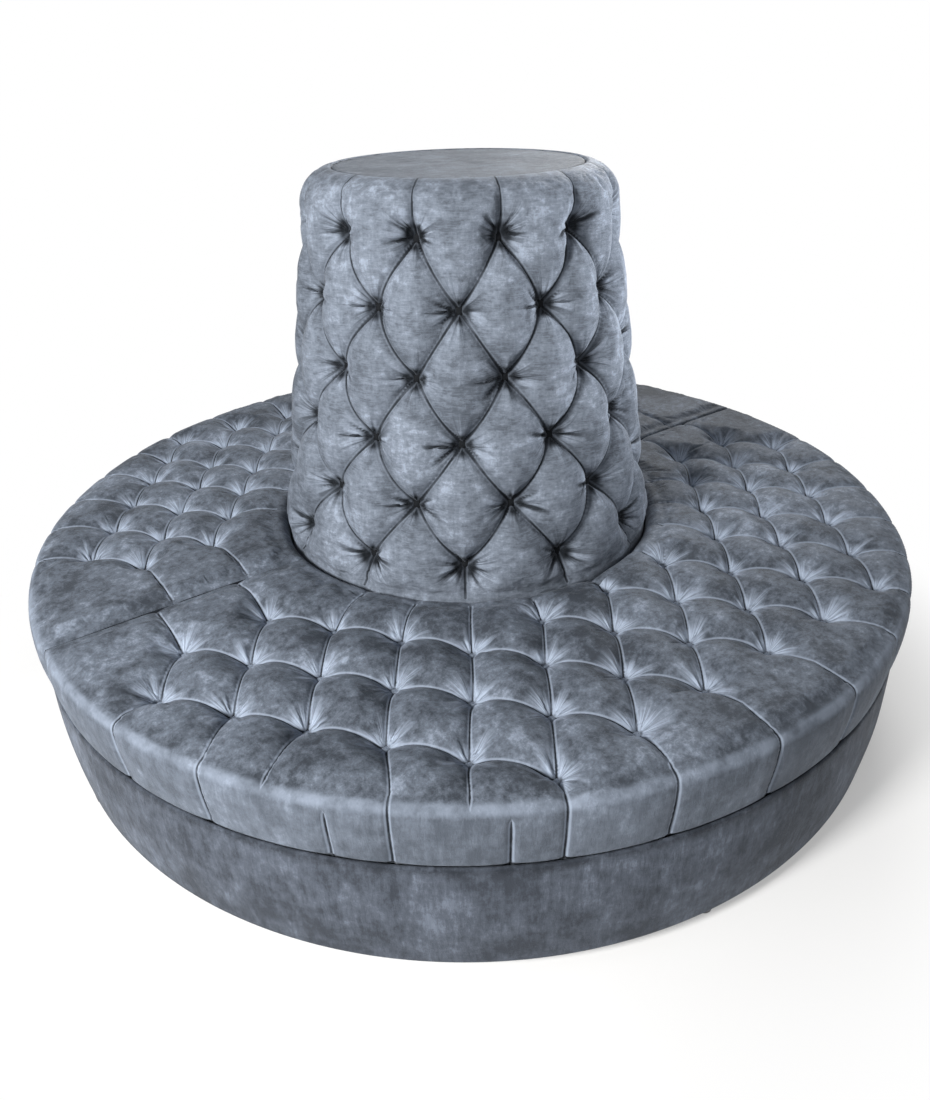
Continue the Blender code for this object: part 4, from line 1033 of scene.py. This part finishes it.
def make_drum(name, material, sizes):
    """The deep-buttoned drum cushion, and the places and directions of its buttons."""
    profile = drum_profile()
    length = np.concatenate([[0.0], np.cumsum(np.linalg.norm(np.diff(profile, axis=0), axis=1))])
    first = int(np.argmin(np.abs(profile[:, 1] - DRUM_FIRST_ROW)))
    cloth = length[first] - length
    across = DRUM_CLOTH_RADIUS * FULL_TURN / DRUM_COLUMNS
    row_length = DRUM_ROW_PITCH / math.cos(DRUM_LEAN)
    places = [(row, column + row_shift(row))
              for row in range(DRUM_ROWS) for column in range(-1, DRUM_COLUMNS + 2)]
    buttons = {(row, column): np.array([column * across, -row * row_length]) for row, column in places}
    ends = {0: cloth[2], DRUM_ROWS - 1: cloth[-2]}
    runs = [(button, np.array([button[0], ends[row]]))
            for (row, _), button in buttons.items() if row in ends]
    sewing = Sewing(list(buttons.values()), diagonals(buttons), runs,
                    (sizes.drum_pit, sizes.drum_pleat, DRUM_RUN_DEPTH), DRUM_PLEAT_WIDTHS, DRUM_FOLDS,
                    SEED + 2)
    angles = cell_steps(0, 2 * DRUM_COLUMNS, DRUM_STEPS) * FULL_TURN / (2 * DRUM_COLUMNS)
    flat = np.stack(np.meshgrid(angles * DRUM_CLOTH_RADIUS, cloth, indexing="xy"), axis=2).reshape(-1, 2)
    depth, marks = sewing.marks(flat)
    rim = np.clip((length[:, None] - DRUM_RIM) / DRUM_RIM_FADE, 0.0, 1.0)
    rim[-1] = 0.0
    rim[-2] = 0.4
    shape = (len(profile), len(angles))
    sunk = depth.reshape(shape) * rim + DRUM_SLACK * rim
    normal = np.gradient(profile, axis=0)
    normal = np.column_stack([-normal[:, 1], normal[:, 0]])
    normal /= np.linalg.norm(normal, axis=1)[:, None]
    radius = profile[:, None, 0] - normal[:, None, 0] * sunk
    height = profile[:, None, 1] - normal[:, None, 1] * sunk
    turn = angles[None, :] + DRUM_TURN
    points = np.stack([radius * np.cos(turn), radius * np.sin(turn), height], axis=2).reshape(-1, 3)
    faces = lathe_faces(sunk)
    inner = [(drum_radius(DRUM_FOOT_HEIGHT) - DRUM_FOAM, DRUM_FOOT_HEIGHT),
             (drum_radius(DRUM_SHOULDER_HEIGHT) - DRUM_FOAM, DRUM_SHOULDER_HEIGHT),
             (PAD_RADIUS + 0.0006, PAD_HEIGHT - PAD_THICKNESS)]
    count = len(points)
    rings = [[(r * math.cos(a), r * math.sin(a), z) for a in turn[0]] for r, z in inner]
    points = np.concatenate([points] + [np.array(ring) for ring in rings])
    wide = len(angles)
    faces += tube_faces(rings_of(wide, count - wide, len(points)) + [range(wide)])
    marks["fold"] *= np.repeat(rim, wide)
    lengthen(marks, len(points) - count)
    piece = mesh_piece(name, points, faces, material, marks)
    point_outwards(piece)
    held = sewn_hold(marks)
    held[(points[:, 2] < DRUM_TUCK_HEIGHT + HEM_HOLD) | (points[:, 2] > DRUM_TOP - DRUM_RIM_HELD)] = 1.0
    held[count:] = 1.0
    settle(piece, held, DRUM_SETTLE_LIMIT)
    crimp(piece, sizes.drum_pucker * marks["fold"])
    return piece, drum_buttons(sizes)


def lathe_faces(sunk):
    """Triangles of a closed round grid, split along the deeper diagonal of each quad."""
    deep = sunk.ravel()
    faces = []
    for first, second, third, fourth in tube_faces(rings_of(sunk.shape[1], 0, sunk.size)):
        if deep[first] + deep[third] > deep[second] + deep[fourth]:
            faces += [(first, second, third), (first, third, fourth)]
        else:
            faces += [(first, second, fourth), (second, third, fourth)]
    return faces


def drum_buttons(sizes):
    """Places and outward directions of the backrest buttons."""
    places, leans = [], []
    for row in range(DRUM_ROWS):
        height = DRUM_FIRST_ROW - row * DRUM_ROW_PITCH
        for column in range(DRUM_COLUMNS):
            angle = (column + row_shift(row)) * FULL_TURN / DRUM_COLUMNS + DRUM_TURN
            level = np.array([math.cos(angle), math.sin(angle), 0.0])
            out = level * math.cos(DRUM_LEAN) + UPRIGHT * math.sin(DRUM_LEAN)
            places.append(level * drum_radius(height) + UPRIGHT * height - out * sizes.drum_pit)
            leans.append(out)
    return np.array(places), np.array(leans)


def make_top_pad(name, material):
    """Plain round pad in the top of the drum, slightly crowned, with a turned-down edge."""
    profile = [(0.0, PAD_HEIGHT + PAD_CROWN)]
    profile += [(radius, PAD_HEIGHT + PAD_CROWN - 0.0008 * (radius / PAD_RADIUS) ** 2)
                for radius in np.linspace(0.012, PAD_RADIUS - 0.006, 34)]
    profile += [(PAD_RADIUS - 0.003, PAD_HEIGHT + 0.0038), (PAD_RADIUS - 0.001, PAD_HEIGHT + 0.0026),
                (PAD_RADIUS, PAD_HEIGHT), (PAD_RADIUS, PAD_HEIGHT - PAD_THICKNESS),
                (0.0, PAD_HEIGHT - PAD_THICKNESS)]
    angles = FULL_TURN * np.arange(PAD_SIDES) / PAD_SIDES
    points = [[(0.0, 0.0, profile[0][1])]]
    for radius, height in profile[1:-1]:
        soft = PAD_SOFTNESS * np.sin(3 * angles + 9 * radius) * np.sin(11 * radius + angles)
        soft *= min(radius / PAD_SOFT_FADE, 1.0)
        soft *= min(max((PAD_SOFT_LIMIT - radius) / PAD_SOFT_FADE, 0.0), 1.0)
        points.append(np.column_stack([radius * np.cos(angles), radius * np.sin(angles), height + soft]))
    points = np.concatenate(points + [[(0.0, 0.0, profile[-1][1])]])
    rings = rings_of(PAD_SIDES, 1, len(points) - 1)
    links = ring_links(PAD_SIDES)
    faces = [(0, rings[0][index], rings[0][after]) for index, after in links] + tube_faces(rings)
    faces += [(rings[-1][after], rings[-1][index], len(points) - 1) for index, after in links]
    piece = mesh_piece(name, points, faces, material)
    point_outwards(piece)
    return piece


# Base covers

def base_loop():
    """Outline of one half base with its corners rounded."""
    outer, inner, corner = BASE_TOP_RADIUS, BASE_INNER_RADIUS, BASE_CORNER
    start = JOINT_GAP + corner
    turn_in = [QUARTER_TURN * share for share in (0.0, 0.33, 0.67, 1.0)]

    def arc(radius, sign, count):
        limit = sign * math.acos(start / radius)
        return [plan_point(radius, angle) for angle in np.linspace(-limit, limit, count)]

    def rounded(x, sign, angles):
        return [np.array([x + sign * (corner * math.cos(angle) - corner), corner * math.sin(angle) - start])
                for angle in angles]

    points = arc(outer, 1, BASE_OUTER_POINTS)
    x_outer = points[-1][0]
    x_inner = math.sqrt(inner ** 2 - start ** 2)
    end = rounded(x_outer, 1, turn_in[1:])
    end += [np.array([x, -JOINT_GAP])
            for x in np.linspace(x_outer - 2 * corner, x_inner + 2 * corner, BASE_END_POINTS)]
    end += rounded(x_inner, -1, turn_in[::-1][:-1])
    points += end + arc(inner, -1, BASE_INNER_POINTS)
    return np.array(points + [point * (-1.0, 1.0) for point in end[::-1]])


def make_base_cover(name, turned, material):
    """Velvet drawn round one half base, turned under at its top and bottom."""
    loop = base_loop()
    radius = np.hypot(*loop.T)
    is_outer = np.clip((radius - BASE_FRONT_RADIUS) / BASE_FRONT_FADE, 0.0, 1.0)
    tangent = np.roll(loop, -1, axis=0) - np.roll(loop, 1, axis=0)
    out = np.column_stack([tangent[:, 1], -tangent[:, 0]])
    out /= np.linalg.norm(out, axis=1)[:, None]
    away = (out * loop).sum(1) * np.where(radius > (BASE_TOP_RADIUS + BASE_INNER_RADIUS) / 2, 1.0, -1.0)
    out *= np.where(away < 0, -1.0, 1.0)[:, None]
    out[np.abs(loop[:, 1]) < JOINT_GAP + 0.0002] = (0.0, 1.0)
    rows = [(0.0085, BASE_TOP), (0.0080, BASE_RIM - 0.004), (0.0062, BASE_RIM - 0.0008), (0.0045, BASE_RIM),
            (0.0022, BASE_RIM - 0.0007), (0.0006, BASE_RIM - 0.0026), (0.0, BASE_RIM - 0.0055)]
    rows += [(0.0, height) for height in np.linspace(BASE_RIM - 0.012, BASE_BOTTOM + 0.010, BASE_ROWS)]
    rows += [(0.0, BASE_BOTTOM + 0.005), (0.0008, BASE_BOTTOM + 0.0022), (0.0028, BASE_BOTTOM + 0.0005),
             (0.010, BASE_BOTTOM), (0.022, BASE_BOTTOM)]
    points = []
    for back, height in rows:
        share = (BASE_RIM - height) / (BASE_RIM - BASE_BOTTOM)
        slope = (BASE_TOP_RADIUS - BASE_BOTTOM_RADIUS) * share - BASE_SWELL * math.sin(math.pi * share)
        ripple = BASE_RIPPLE * np.sin(41.0 * loop[:, 0] + 3.0 * height) * np.sin(37.0 * loop[:, 1] + 1.0)
        inwards = back + (slope + ripple * math.sin(math.pi * share)) * is_outer
        level = np.minimum(height, BASE_TOP + (BASE_RIM - BASE_TOP) * is_outer)
        points.append(np.column_stack([loop - out * inwards[:, None], level]))
    faces = [(first, fourth, third, second)
             for first, second, third, fourth in tube_faces(rings_of(len(loop), 0, len(loop) * len(rows)))]
    points = np.concatenate(points)
    piece = mesh_piece(name, points * HALF_TURN if turned else points, faces, material)
    join_doubles(piece)
    return piece


# Pieces grown from points

def grown_tree(name, inputs, instance):
    """A geometry tree that sets one instance, made from its named inputs, on every point."""
    tree = bpy.data.node_groups.new(name, "GeometryNodeTree")
    tree.interface.new_socket("Geometry", in_out="INPUT", socket_type="NodeSocketGeometry")
    tree.interface.new_socket("Geometry", in_out="OUTPUT", socket_type="NodeSocketGeometry")
    for label, kind in list(inputs.items()) + [("Material", "Material")]:
        tree.interface.new_socket(label, in_out="INPUT", socket_type="NodeSocket" + kind)
    source = tree.nodes.new("NodeGroupInput").outputs
    placed = add_node(tree, "GeometryNodeInstanceOnPoints",
                      {"Points": source["Geometry"], **instance(tree, source)})
    whole = add_node(tree, "GeometryNodeRealizeInstances", {"Geometry": placed.outputs[0]})
    smooth = add_node(tree, "GeometryNodeSetShadeSmooth", {"Geometry": whole.outputs[0]})
    painted = add_node(tree, "GeometryNodeSetMaterial",
                       {"Geometry": smooth.outputs[0], "Material": source["Material"]})
    add_node(tree, "NodeGroupOutput", {"Geometry": painted.outputs[0]})
    return tree


def covered_button(tree, source):
    """A low dome that faces along the point's lean, with a little sway in its size."""
    dome = add_node(tree, "GeometryNodeMeshUVSphere",
                    {"Segments": 18, "Rings": 9, "Radius": source["Radius"]})
    flat = add_maths(tree, "DIVIDE", source["Crown"], source["Radius"])
    scale = add_node(tree, "ShaderNodeCombineXYZ", {"X": 1.0, "Y": 1.0, "Z": flat})
    pressed = add_node(tree, "GeometryNodeTransform",
                       {"Geometry": dome.outputs[0], "Scale": scale.outputs[0]})
    lean = add_node(tree, "GeometryNodeInputNamedAttribute", {"Name": "lean"}, data_type="FLOAT_VECTOR")
    facing = add_node(tree, "FunctionNodeAlignRotationToVector", {"Vector": lean.outputs["Attribute"]},
                      axis="Z")
    sway = add_node(tree, "FunctionNodeRandomValue", {"Seed": source["Seed"], 2: 0.94, 3: 1.06},
                    data_type="FLOAT")
    return {"Instance": pressed.outputs[0], "Rotation": facing.outputs[0], "Scale": sway.outputs[1]}


def round_foot(tree, source):
    """A round tapered foot with a chamfer at its sole."""
    sides = {"Vertices": FOOT_SIDES}
    body_height = add_maths(tree, "SUBTRACT", source["Height"], source["Chamfer"])
    sole = add_maths(tree, "SUBTRACT", source["Sole Radius"], source["Chamfer"])
    body = add_node(tree, "GeometryNodeMeshCone",
                    {**sides, "Radius Top": source["Top Radius"], "Radius Bottom": source["Sole Radius"],
                     "Depth": body_height}, fill_type="NONE")
    chamfer = add_node(tree, "GeometryNodeMeshCone",
                       {**sides, "Radius Top": source["Sole Radius"], "Radius Bottom": sole,
                        "Depth": source["Chamfer"]}, fill_type="NONE")
    under = add_node(tree, "GeometryNodeMeshCircle", {**sides, "Radius": sole}, fill_type="NGON")
    over = add_node(tree, "GeometryNodeMeshCircle", {**sides, "Radius": source["Top Radius"]},
                    fill_type="NGON")
    turned = add_node(tree, "GeometryNodeFlipFaces", {"Mesh": under.outputs[0]})

    def lifted(part, height):
        place = add_node(tree, "ShaderNodeCombineXYZ", {"Z": height})
        return add_node(tree, "GeometryNodeTransform",
                        {"Geometry": part.outputs[0], "Translation": place.outputs[0]})

    whole = add_node(tree, "GeometryNodeJoinGeometry")
    for part in (lifted(body, source["Chamfer"]), chamfer, turned, lifted(over, source["Height"])):
        tree.links.new(part.outputs[0], whole.inputs[0])
    closed = add_node(tree, "GeometryNodeMergeByDistance",
                      {"Geometry": whole.outputs[0], "Distance": 0.00005})
    return {"Instance": closed.outputs[0]}


def grow(name, points, tree, values, leans):
    """Run a geometry tree on a set of points and keep the result as a plain mesh."""
    source = mesh_piece(name + "_points", points, [], None, {"lean": np.array(leans)})
    modifier = source.modifiers.new("grow", "NODES")
    modifier.node_group = tree
    for item in tree.interface.items_tree:
        if item.in_out == "INPUT" and item.name in values:
            modifier[item.identifier] = values[item.name]
    evaluated = source.evaluated_get(bpy.context.evaluated_depsgraph_get())
    grown = bpy.data.meshes.new_from_object(evaluated)
    bpy.data.objects.remove(source)
    grown.name = name
    return add_object(name, grown)


# Operators

STORE = {}


class SOFA_OT_seat_cushions(Operator):
    """Make the two half-round, deep-buttoned seat cushions"""

    bl_idname = "sofa.seat_cushions"
    bl_label = "Seat cushions"
    bl_options = {"REGISTER", "UNDO"}

    def execute(self, context):
        sizes = context.scene.sofa_sizes
        colours = context.scene.sofa_colours
        cloth = velvet("seat_velvet_crushed", colours.seat, Pile())
        for index, side in enumerate(SEAT_LATTICES):
            piece, pits = make_seat(side + "_seat_upholstery", side, cloth, sizes, SEED + index)
            STORE[side] = pits
            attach(piece, "root")
            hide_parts(side + "_seat_cushion")
        return {"FINISHED"}


class SOFA_OT_backrest(Operator):
    """Make the deep-buttoned backrest drum and the plain pad in its top"""

    bl_idname = "sofa.backrest"
    bl_label = "Backrest"
    bl_options = {"REGISTER", "UNDO"}

    def execute(self, context):
        sizes = context.scene.sofa_sizes
        colours = context.scene.sofa_colours
        # The backrest's painted highlights round its buttons are weak, and its painted shade in the hollows,
        # creases and pits strong and wide.
        cloth = velvet("backrest_velvet_crushed", colours.backrest,
                       Pile(brush=(45.0, 45.0, 110.0), crush=0.80, weave=0.22, fan_scale=3.6,
                            fan_length=(0.034, 0.074), fan_highlight=0.20, fan_shade=1.0, fan_fade=0.65,
                            fan_sharp=(0.44, 0.65), fan_relief=0.007, sideways=0.45, ridge_highlight=0.20,
                            line=(0.0010, 0.0040), hollow=0.50, pit_shade_reach=0.031))
        piece, STORE["drum"] = make_drum("backrest_upholstery", cloth, sizes)
        # Painted shade: the top pad's velvet is the backrest's painted about half as light, for the dimmer
        # light on its upward face.
        plain = velvet("backrest_velvet_plain", shade(colours.backrest, 0.52)[:3],
                       Pile(crush=0.8, tufted=False))
        pad = make_top_pad("backrest_top_upholstery", plain)
        for made, node in ((piece, "backrest_cushion"), (pad, "backrest_top_pad")):
            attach(made, "root")
            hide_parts(node)
        return {"FINISHED"}


class SOFA_OT_buttons(Operator):
    """Set a covered button in every pit of the seats and the backrest"""

    bl_idname = "sofa.buttons"
    bl_label = "Buttons"
    bl_options = {"REGISTER", "UNDO"}

    def execute(self, context):
        sizes = context.scene.sofa_sizes
        colours = context.scene.sofa_colours
        tree = grown_tree("covered_buttons", {"Radius": "Float", "Crown": "Float", "Seed": "Int"},
                          covered_button)
        values = {"Radius": sizes.button_radius, "Crown": sizes.button_crown, "Seed": SEED}
        # Painted light: the seat buttons' velvet is the seat's painted 2.4 times lighter.
        values["Material"] = button_cloth("seat_button_velvet", shade(colours.seat, 2.4)[:3])
        for side in SEAT_LATTICES:
            pits = STORE[side]
            piece = grow(side + "_seat_buttons", pits, tree, values, [UPRIGHT] * len(pits))
            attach(piece, "root")
        # Painted shade: the backrest buttons' velvet is the backrest's painted almost black, for the shade
        # deep in their pits.
        values["Material"] = button_cloth("backrest_button_velvet", shade(colours.backrest, 0.05)[:3])
        piece = grow("backrest_buttons", STORE["drum"][0], tree, values, STORE["drum"][1])
        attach(piece, "root")
        return {"FINISHED"}


class SOFA_OT_base_covers(Operator):
    """Draw plain velvet round the base of each bench"""

    bl_idname = "sofa.base_covers"
    bl_label = "Base covers"
    bl_options = {"REGISTER", "UNDO"}

    def execute(self, context):
        colours = context.scene.sofa_colours
        # The base's velvet is painted darker below the seat's seam, as painted shadow.
        cloth = velvet("base_velvet_crushed", colours.base, Pile(crush=0.82, tufted=False, seam=BASE_RIM))
        for side in SEAT_LATTICES:
            piece = make_base_cover(side + "_base_velvet", side == "rear", cloth)
            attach(piece, "root")
            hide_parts(side + "_base_cover")
        return {"FINISHED"}


class SOFA_OT_feet(Operator):
    """Set the round feet under both benches and the tower"""

    bl_idname = "sofa.feet"
    bl_label = "Feet"
    bl_options = {"REGISTER", "UNDO"}

    def execute(self, context):
        colours = context.scene.sofa_colours
        tree = grown_tree("round_feet", {label: "Float" for label in FOOT_SIZES}, round_foot)
        values = {**FOOT_SIZES, "Material": moulded("foot_plastic_satin", colours.foot, 0.42)}
        for unit in ("front", "rear", "tower"):
            nodes = sorted(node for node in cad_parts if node.startswith(unit + "_foot_"))
            places = []
            for node in nodes:
                low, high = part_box(node)
                places.append(((low.x + high.x) / 2, (low.y + high.y) / 2, 0.0))
            piece = grow(unit + "_feet", places, tree, values, [UPRIGHT] * len(places))
            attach(piece, "root")
            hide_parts(*nodes)
        return {"FINISHED"}


class SOFA_OT_frame_finishes(Operator):
    """Give the boards, ribs, dust covers and link plates their finishes"""

    bl_idname = "sofa.frame_finishes"
    bl_label = "Frame finishes"
    bl_options = {"REGISTER", "UNDO"}

    def execute(self, context):
        ply = plywood("plywood_raw", (0.62, 0.47, 0.30))
        soft = plywood("softwood_sawn", (0.72, 0.57, 0.38))
        cloth = dust_cloth("dust_cloth_black")
        steel = moulded("zinc_plate", (0.42, 0.43, 0.45), 0.35, metallic=1.0)
        for name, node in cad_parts.items():
            finish = soft if "rib" in name else cloth if "dust" in name else steel if "link" in name else ply
            node.data.materials.clear()
            node.data.materials.append(finish)
        return {"FINISHED"}


class SOFA_OT_stage(Operator):
    """Make the floor, the studio light and the camera"""

    bl_idname = "sofa.stage"
    bl_label = "Stage"
    bl_options = {"REGISTER", "UNDO"}

    def execute(self, context):
        make_floor()
        make_world()
        make_lights()
        make_camera()
        bpy.context.scene.view_settings.view_transform = "Standard"
        return {"FINISHED"}


def seen_rays(tree):
    """1 for rays from the camera and for those that gloss or glass turns on, 0 for the others."""
    path = tree.nodes.new("ShaderNodeLightPath").outputs
    seen = path["Is Camera Ray"]
    for name in ("Is Glossy Ray", "Is Transmission Ray"):
        seen = add_maths(tree, "MAXIMUM", seen, path[name])
    return seen


def blend_surface(tree, output, factor, first, second):
    """Send a mix of two shaders to the surface of a material or world."""
    mix = add_node(tree, "ShaderNodeMixShader", {0: factor, 1: first.outputs[0], 2: second.outputs[0]})
    tree.links.new(mix.outputs[0], tree.nodes[output].inputs["Surface"])


def make_floor():
    """Pale floor that keeps the sofa's soft shadow and meets a white background."""
    made = Shader("studio_floor")
    made.finish(Base_Color=(0.80, 0.80, 0.80, 1.0), Roughness=0.9, Specular_IOR_Level=0.1)
    glow = made.node("ShaderNodeEmission", {"Strength": 1.0})
    away = made.node("ShaderNodeVectorMath", {0: made.place}, operation="LENGTH").outputs["Value"]
    share = made.times(seen_rays(made.tree), made.ramp(away, 0.92, 1.40, 0.30, 1.0))
    blend_surface(made.tree, "Material Output", share, made.surface, glow)
    corners = [(x * FLOOR_REACH, y * FLOOR_REACH, 0.0) for x, y in ((-1, -1), (1, -1), (1, 1), (-1, 1))]
    mesh_piece("floor", corners, [(0, 1, 2, 3)], made.material)


def make_world():
    """Soft pale surroundings, white where the camera sees them."""
    world = bpy.data.worlds.new("studio")
    world.use_nodes = True
    tree = world.node_tree
    background = tree.nodes["Background"]
    fill_inputs(tree, background, {"Color": (0.95, 0.97, 1.0, 1.0), "Strength": 0.09})
    white = add_node(tree, "ShaderNodeBackground", {"Color": (1.0, 1.0, 1.0, 1.0)})
    blend_surface(tree, "World Output", seen_rays(tree), background, white)
    bpy.context.scene.world = world


def add_lamp(name, kind, turn, away, height, target, **settings):
    """A lamp at a turn from the sofa's front, aimed at a height on its axis."""
    lamp = bpy.data.lights.new(name, kind)
    for key, value in settings.items():
        setattr(lamp, key, value)
    item = add_object(name, lamp)
    angle = math.radians(turn)
    item.location = (away * math.sin(angle), -away * math.cos(angle), height)
    facing = Vector((0.0, 0.0, target)) - item.location
    item.rotation_euler = facing.to_track_quat("-Z", "Y").to_euler()
    return item


def make_lights():
    """A key from the left, a weak fill, a lamp behind, and a spot from the side on the backrest."""
    for name, turn, away, height, size, energy in (("key", -74.0, 3.5, 2.3, 0.9, 242.0),
                                                   ("fill", -25.0, 4.2, 2.3, 1.4, 40.0),
                                                   ("back", 120.0, 3.6, 2.6, 1.8, 95.0)):
        add_lamp(name, "AREA", turn, away, height, 0.45, shape="DISK", size=size, energy=energy,
                 color=(1.0, 0.99, 0.97))
    side = add_lamp("side", "SPOT", 62.0, 3.4, 1.35, 0.92, energy=1250.0, spot_size=math.radians(20.0),
                    spot_blend=0.6, shadow_soft_size=0.25)
    side.visible_glossy = False


FLOOR_REACH = 14.0
CAMERA_TURN = math.radians(35.711)
CAMERA_AWAY = 1.8738
CAMERA_HEIGHT = 1.3584
CAMERA_PITCH = 0.5271753
CAMERA_YAW = -0.0043193
CAMERA_ROLL = -0.0272008
CAMERA_LENS = 28.102


def make_camera():
    """The camera at the photograph's viewpoint."""
    data = bpy.data.cameras.new("camera")
    data.sensor_width = 36.0
    data.lens = CAMERA_LENS
    data.clip_end = 60.0
    camera = add_object("camera", data)
    forward = Vector((math.sin(CAMERA_YAW) * math.cos(CAMERA_PITCH),
                      math.cos(CAMERA_YAW) * math.cos(CAMERA_PITCH), -math.sin(CAMERA_PITCH)))
    level = Vector((math.cos(CAMERA_YAW), -math.sin(CAMERA_YAW), 0.0))
    upright = level.cross(forward)
    right = level * math.cos(CAMERA_ROLL) + upright * math.sin(CAMERA_ROLL)
    above = upright * math.cos(CAMERA_ROLL) - level * math.sin(CAMERA_ROLL)
    axes = Matrix((right, above, -forward)).transposed().to_4x4()
    back = Matrix.Rotation(-CAMERA_TURN, 4, "Z")
    camera.matrix_world = back @ Matrix.Translation((0.0, -CAMERA_AWAY, CAMERA_HEIGHT)) @ axes
    bpy.context.scene.camera = camera


class SOFA_PT_panel(Panel):
    """Sidebar panel with the sofa's pieces, sizes and colours"""

    bl_label = "Tufted lobby sofa"
    bl_space_type = "VIEW_3D"
    bl_region_type = "UI"
    bl_category = "Sofa"

    def draw(self, context):
        for operator in OPERATORS:
            self.layout.operator(operator.bl_idname)
        for group in (context.scene.sofa_sizes, context.scene.sofa_colours):
            for key in group.__annotations__:
                self.layout.prop(group, key)


OPERATORS = (SOFA_OT_seat_cushions, SOFA_OT_backrest, SOFA_OT_buttons, SOFA_OT_base_covers,
             SOFA_OT_feet, SOFA_OT_frame_finishes, SOFA_OT_stage)
CLASSES = (SofaSizes, SofaColours) + OPERATORS + (SOFA_PT_panel,)


def register():
    """Add the sofa's classes and settings to Blender."""
    for item in CLASSES:
        bpy.utils.register_class(item)
    bpy.types.Scene.sofa_sizes = PointerProperty(type=SofaSizes)
    bpy.types.Scene.sofa_colours = PointerProperty(type=SofaColours)


def unregister():
    """Take the sofa's classes and settings out again."""
    del bpy.types.Scene.sofa_colours
    del bpy.types.Scene.sofa_sizes
    for item in reversed(CLASSES):
        bpy.utils.unregister_class(item)


def main():
    """Make every piece in order."""
    register()
    bpy.ops.sofa.seat_cushions()
    bpy.ops.sofa.backrest()
    bpy.ops.sofa.buttons()
    bpy.ops.sofa.base_covers()
    bpy.ops.sofa.feet()
    bpy.ops.sofa.frame_finishes()
    bpy.ops.sofa.stage()


if __name__ == "__main__":
    main()
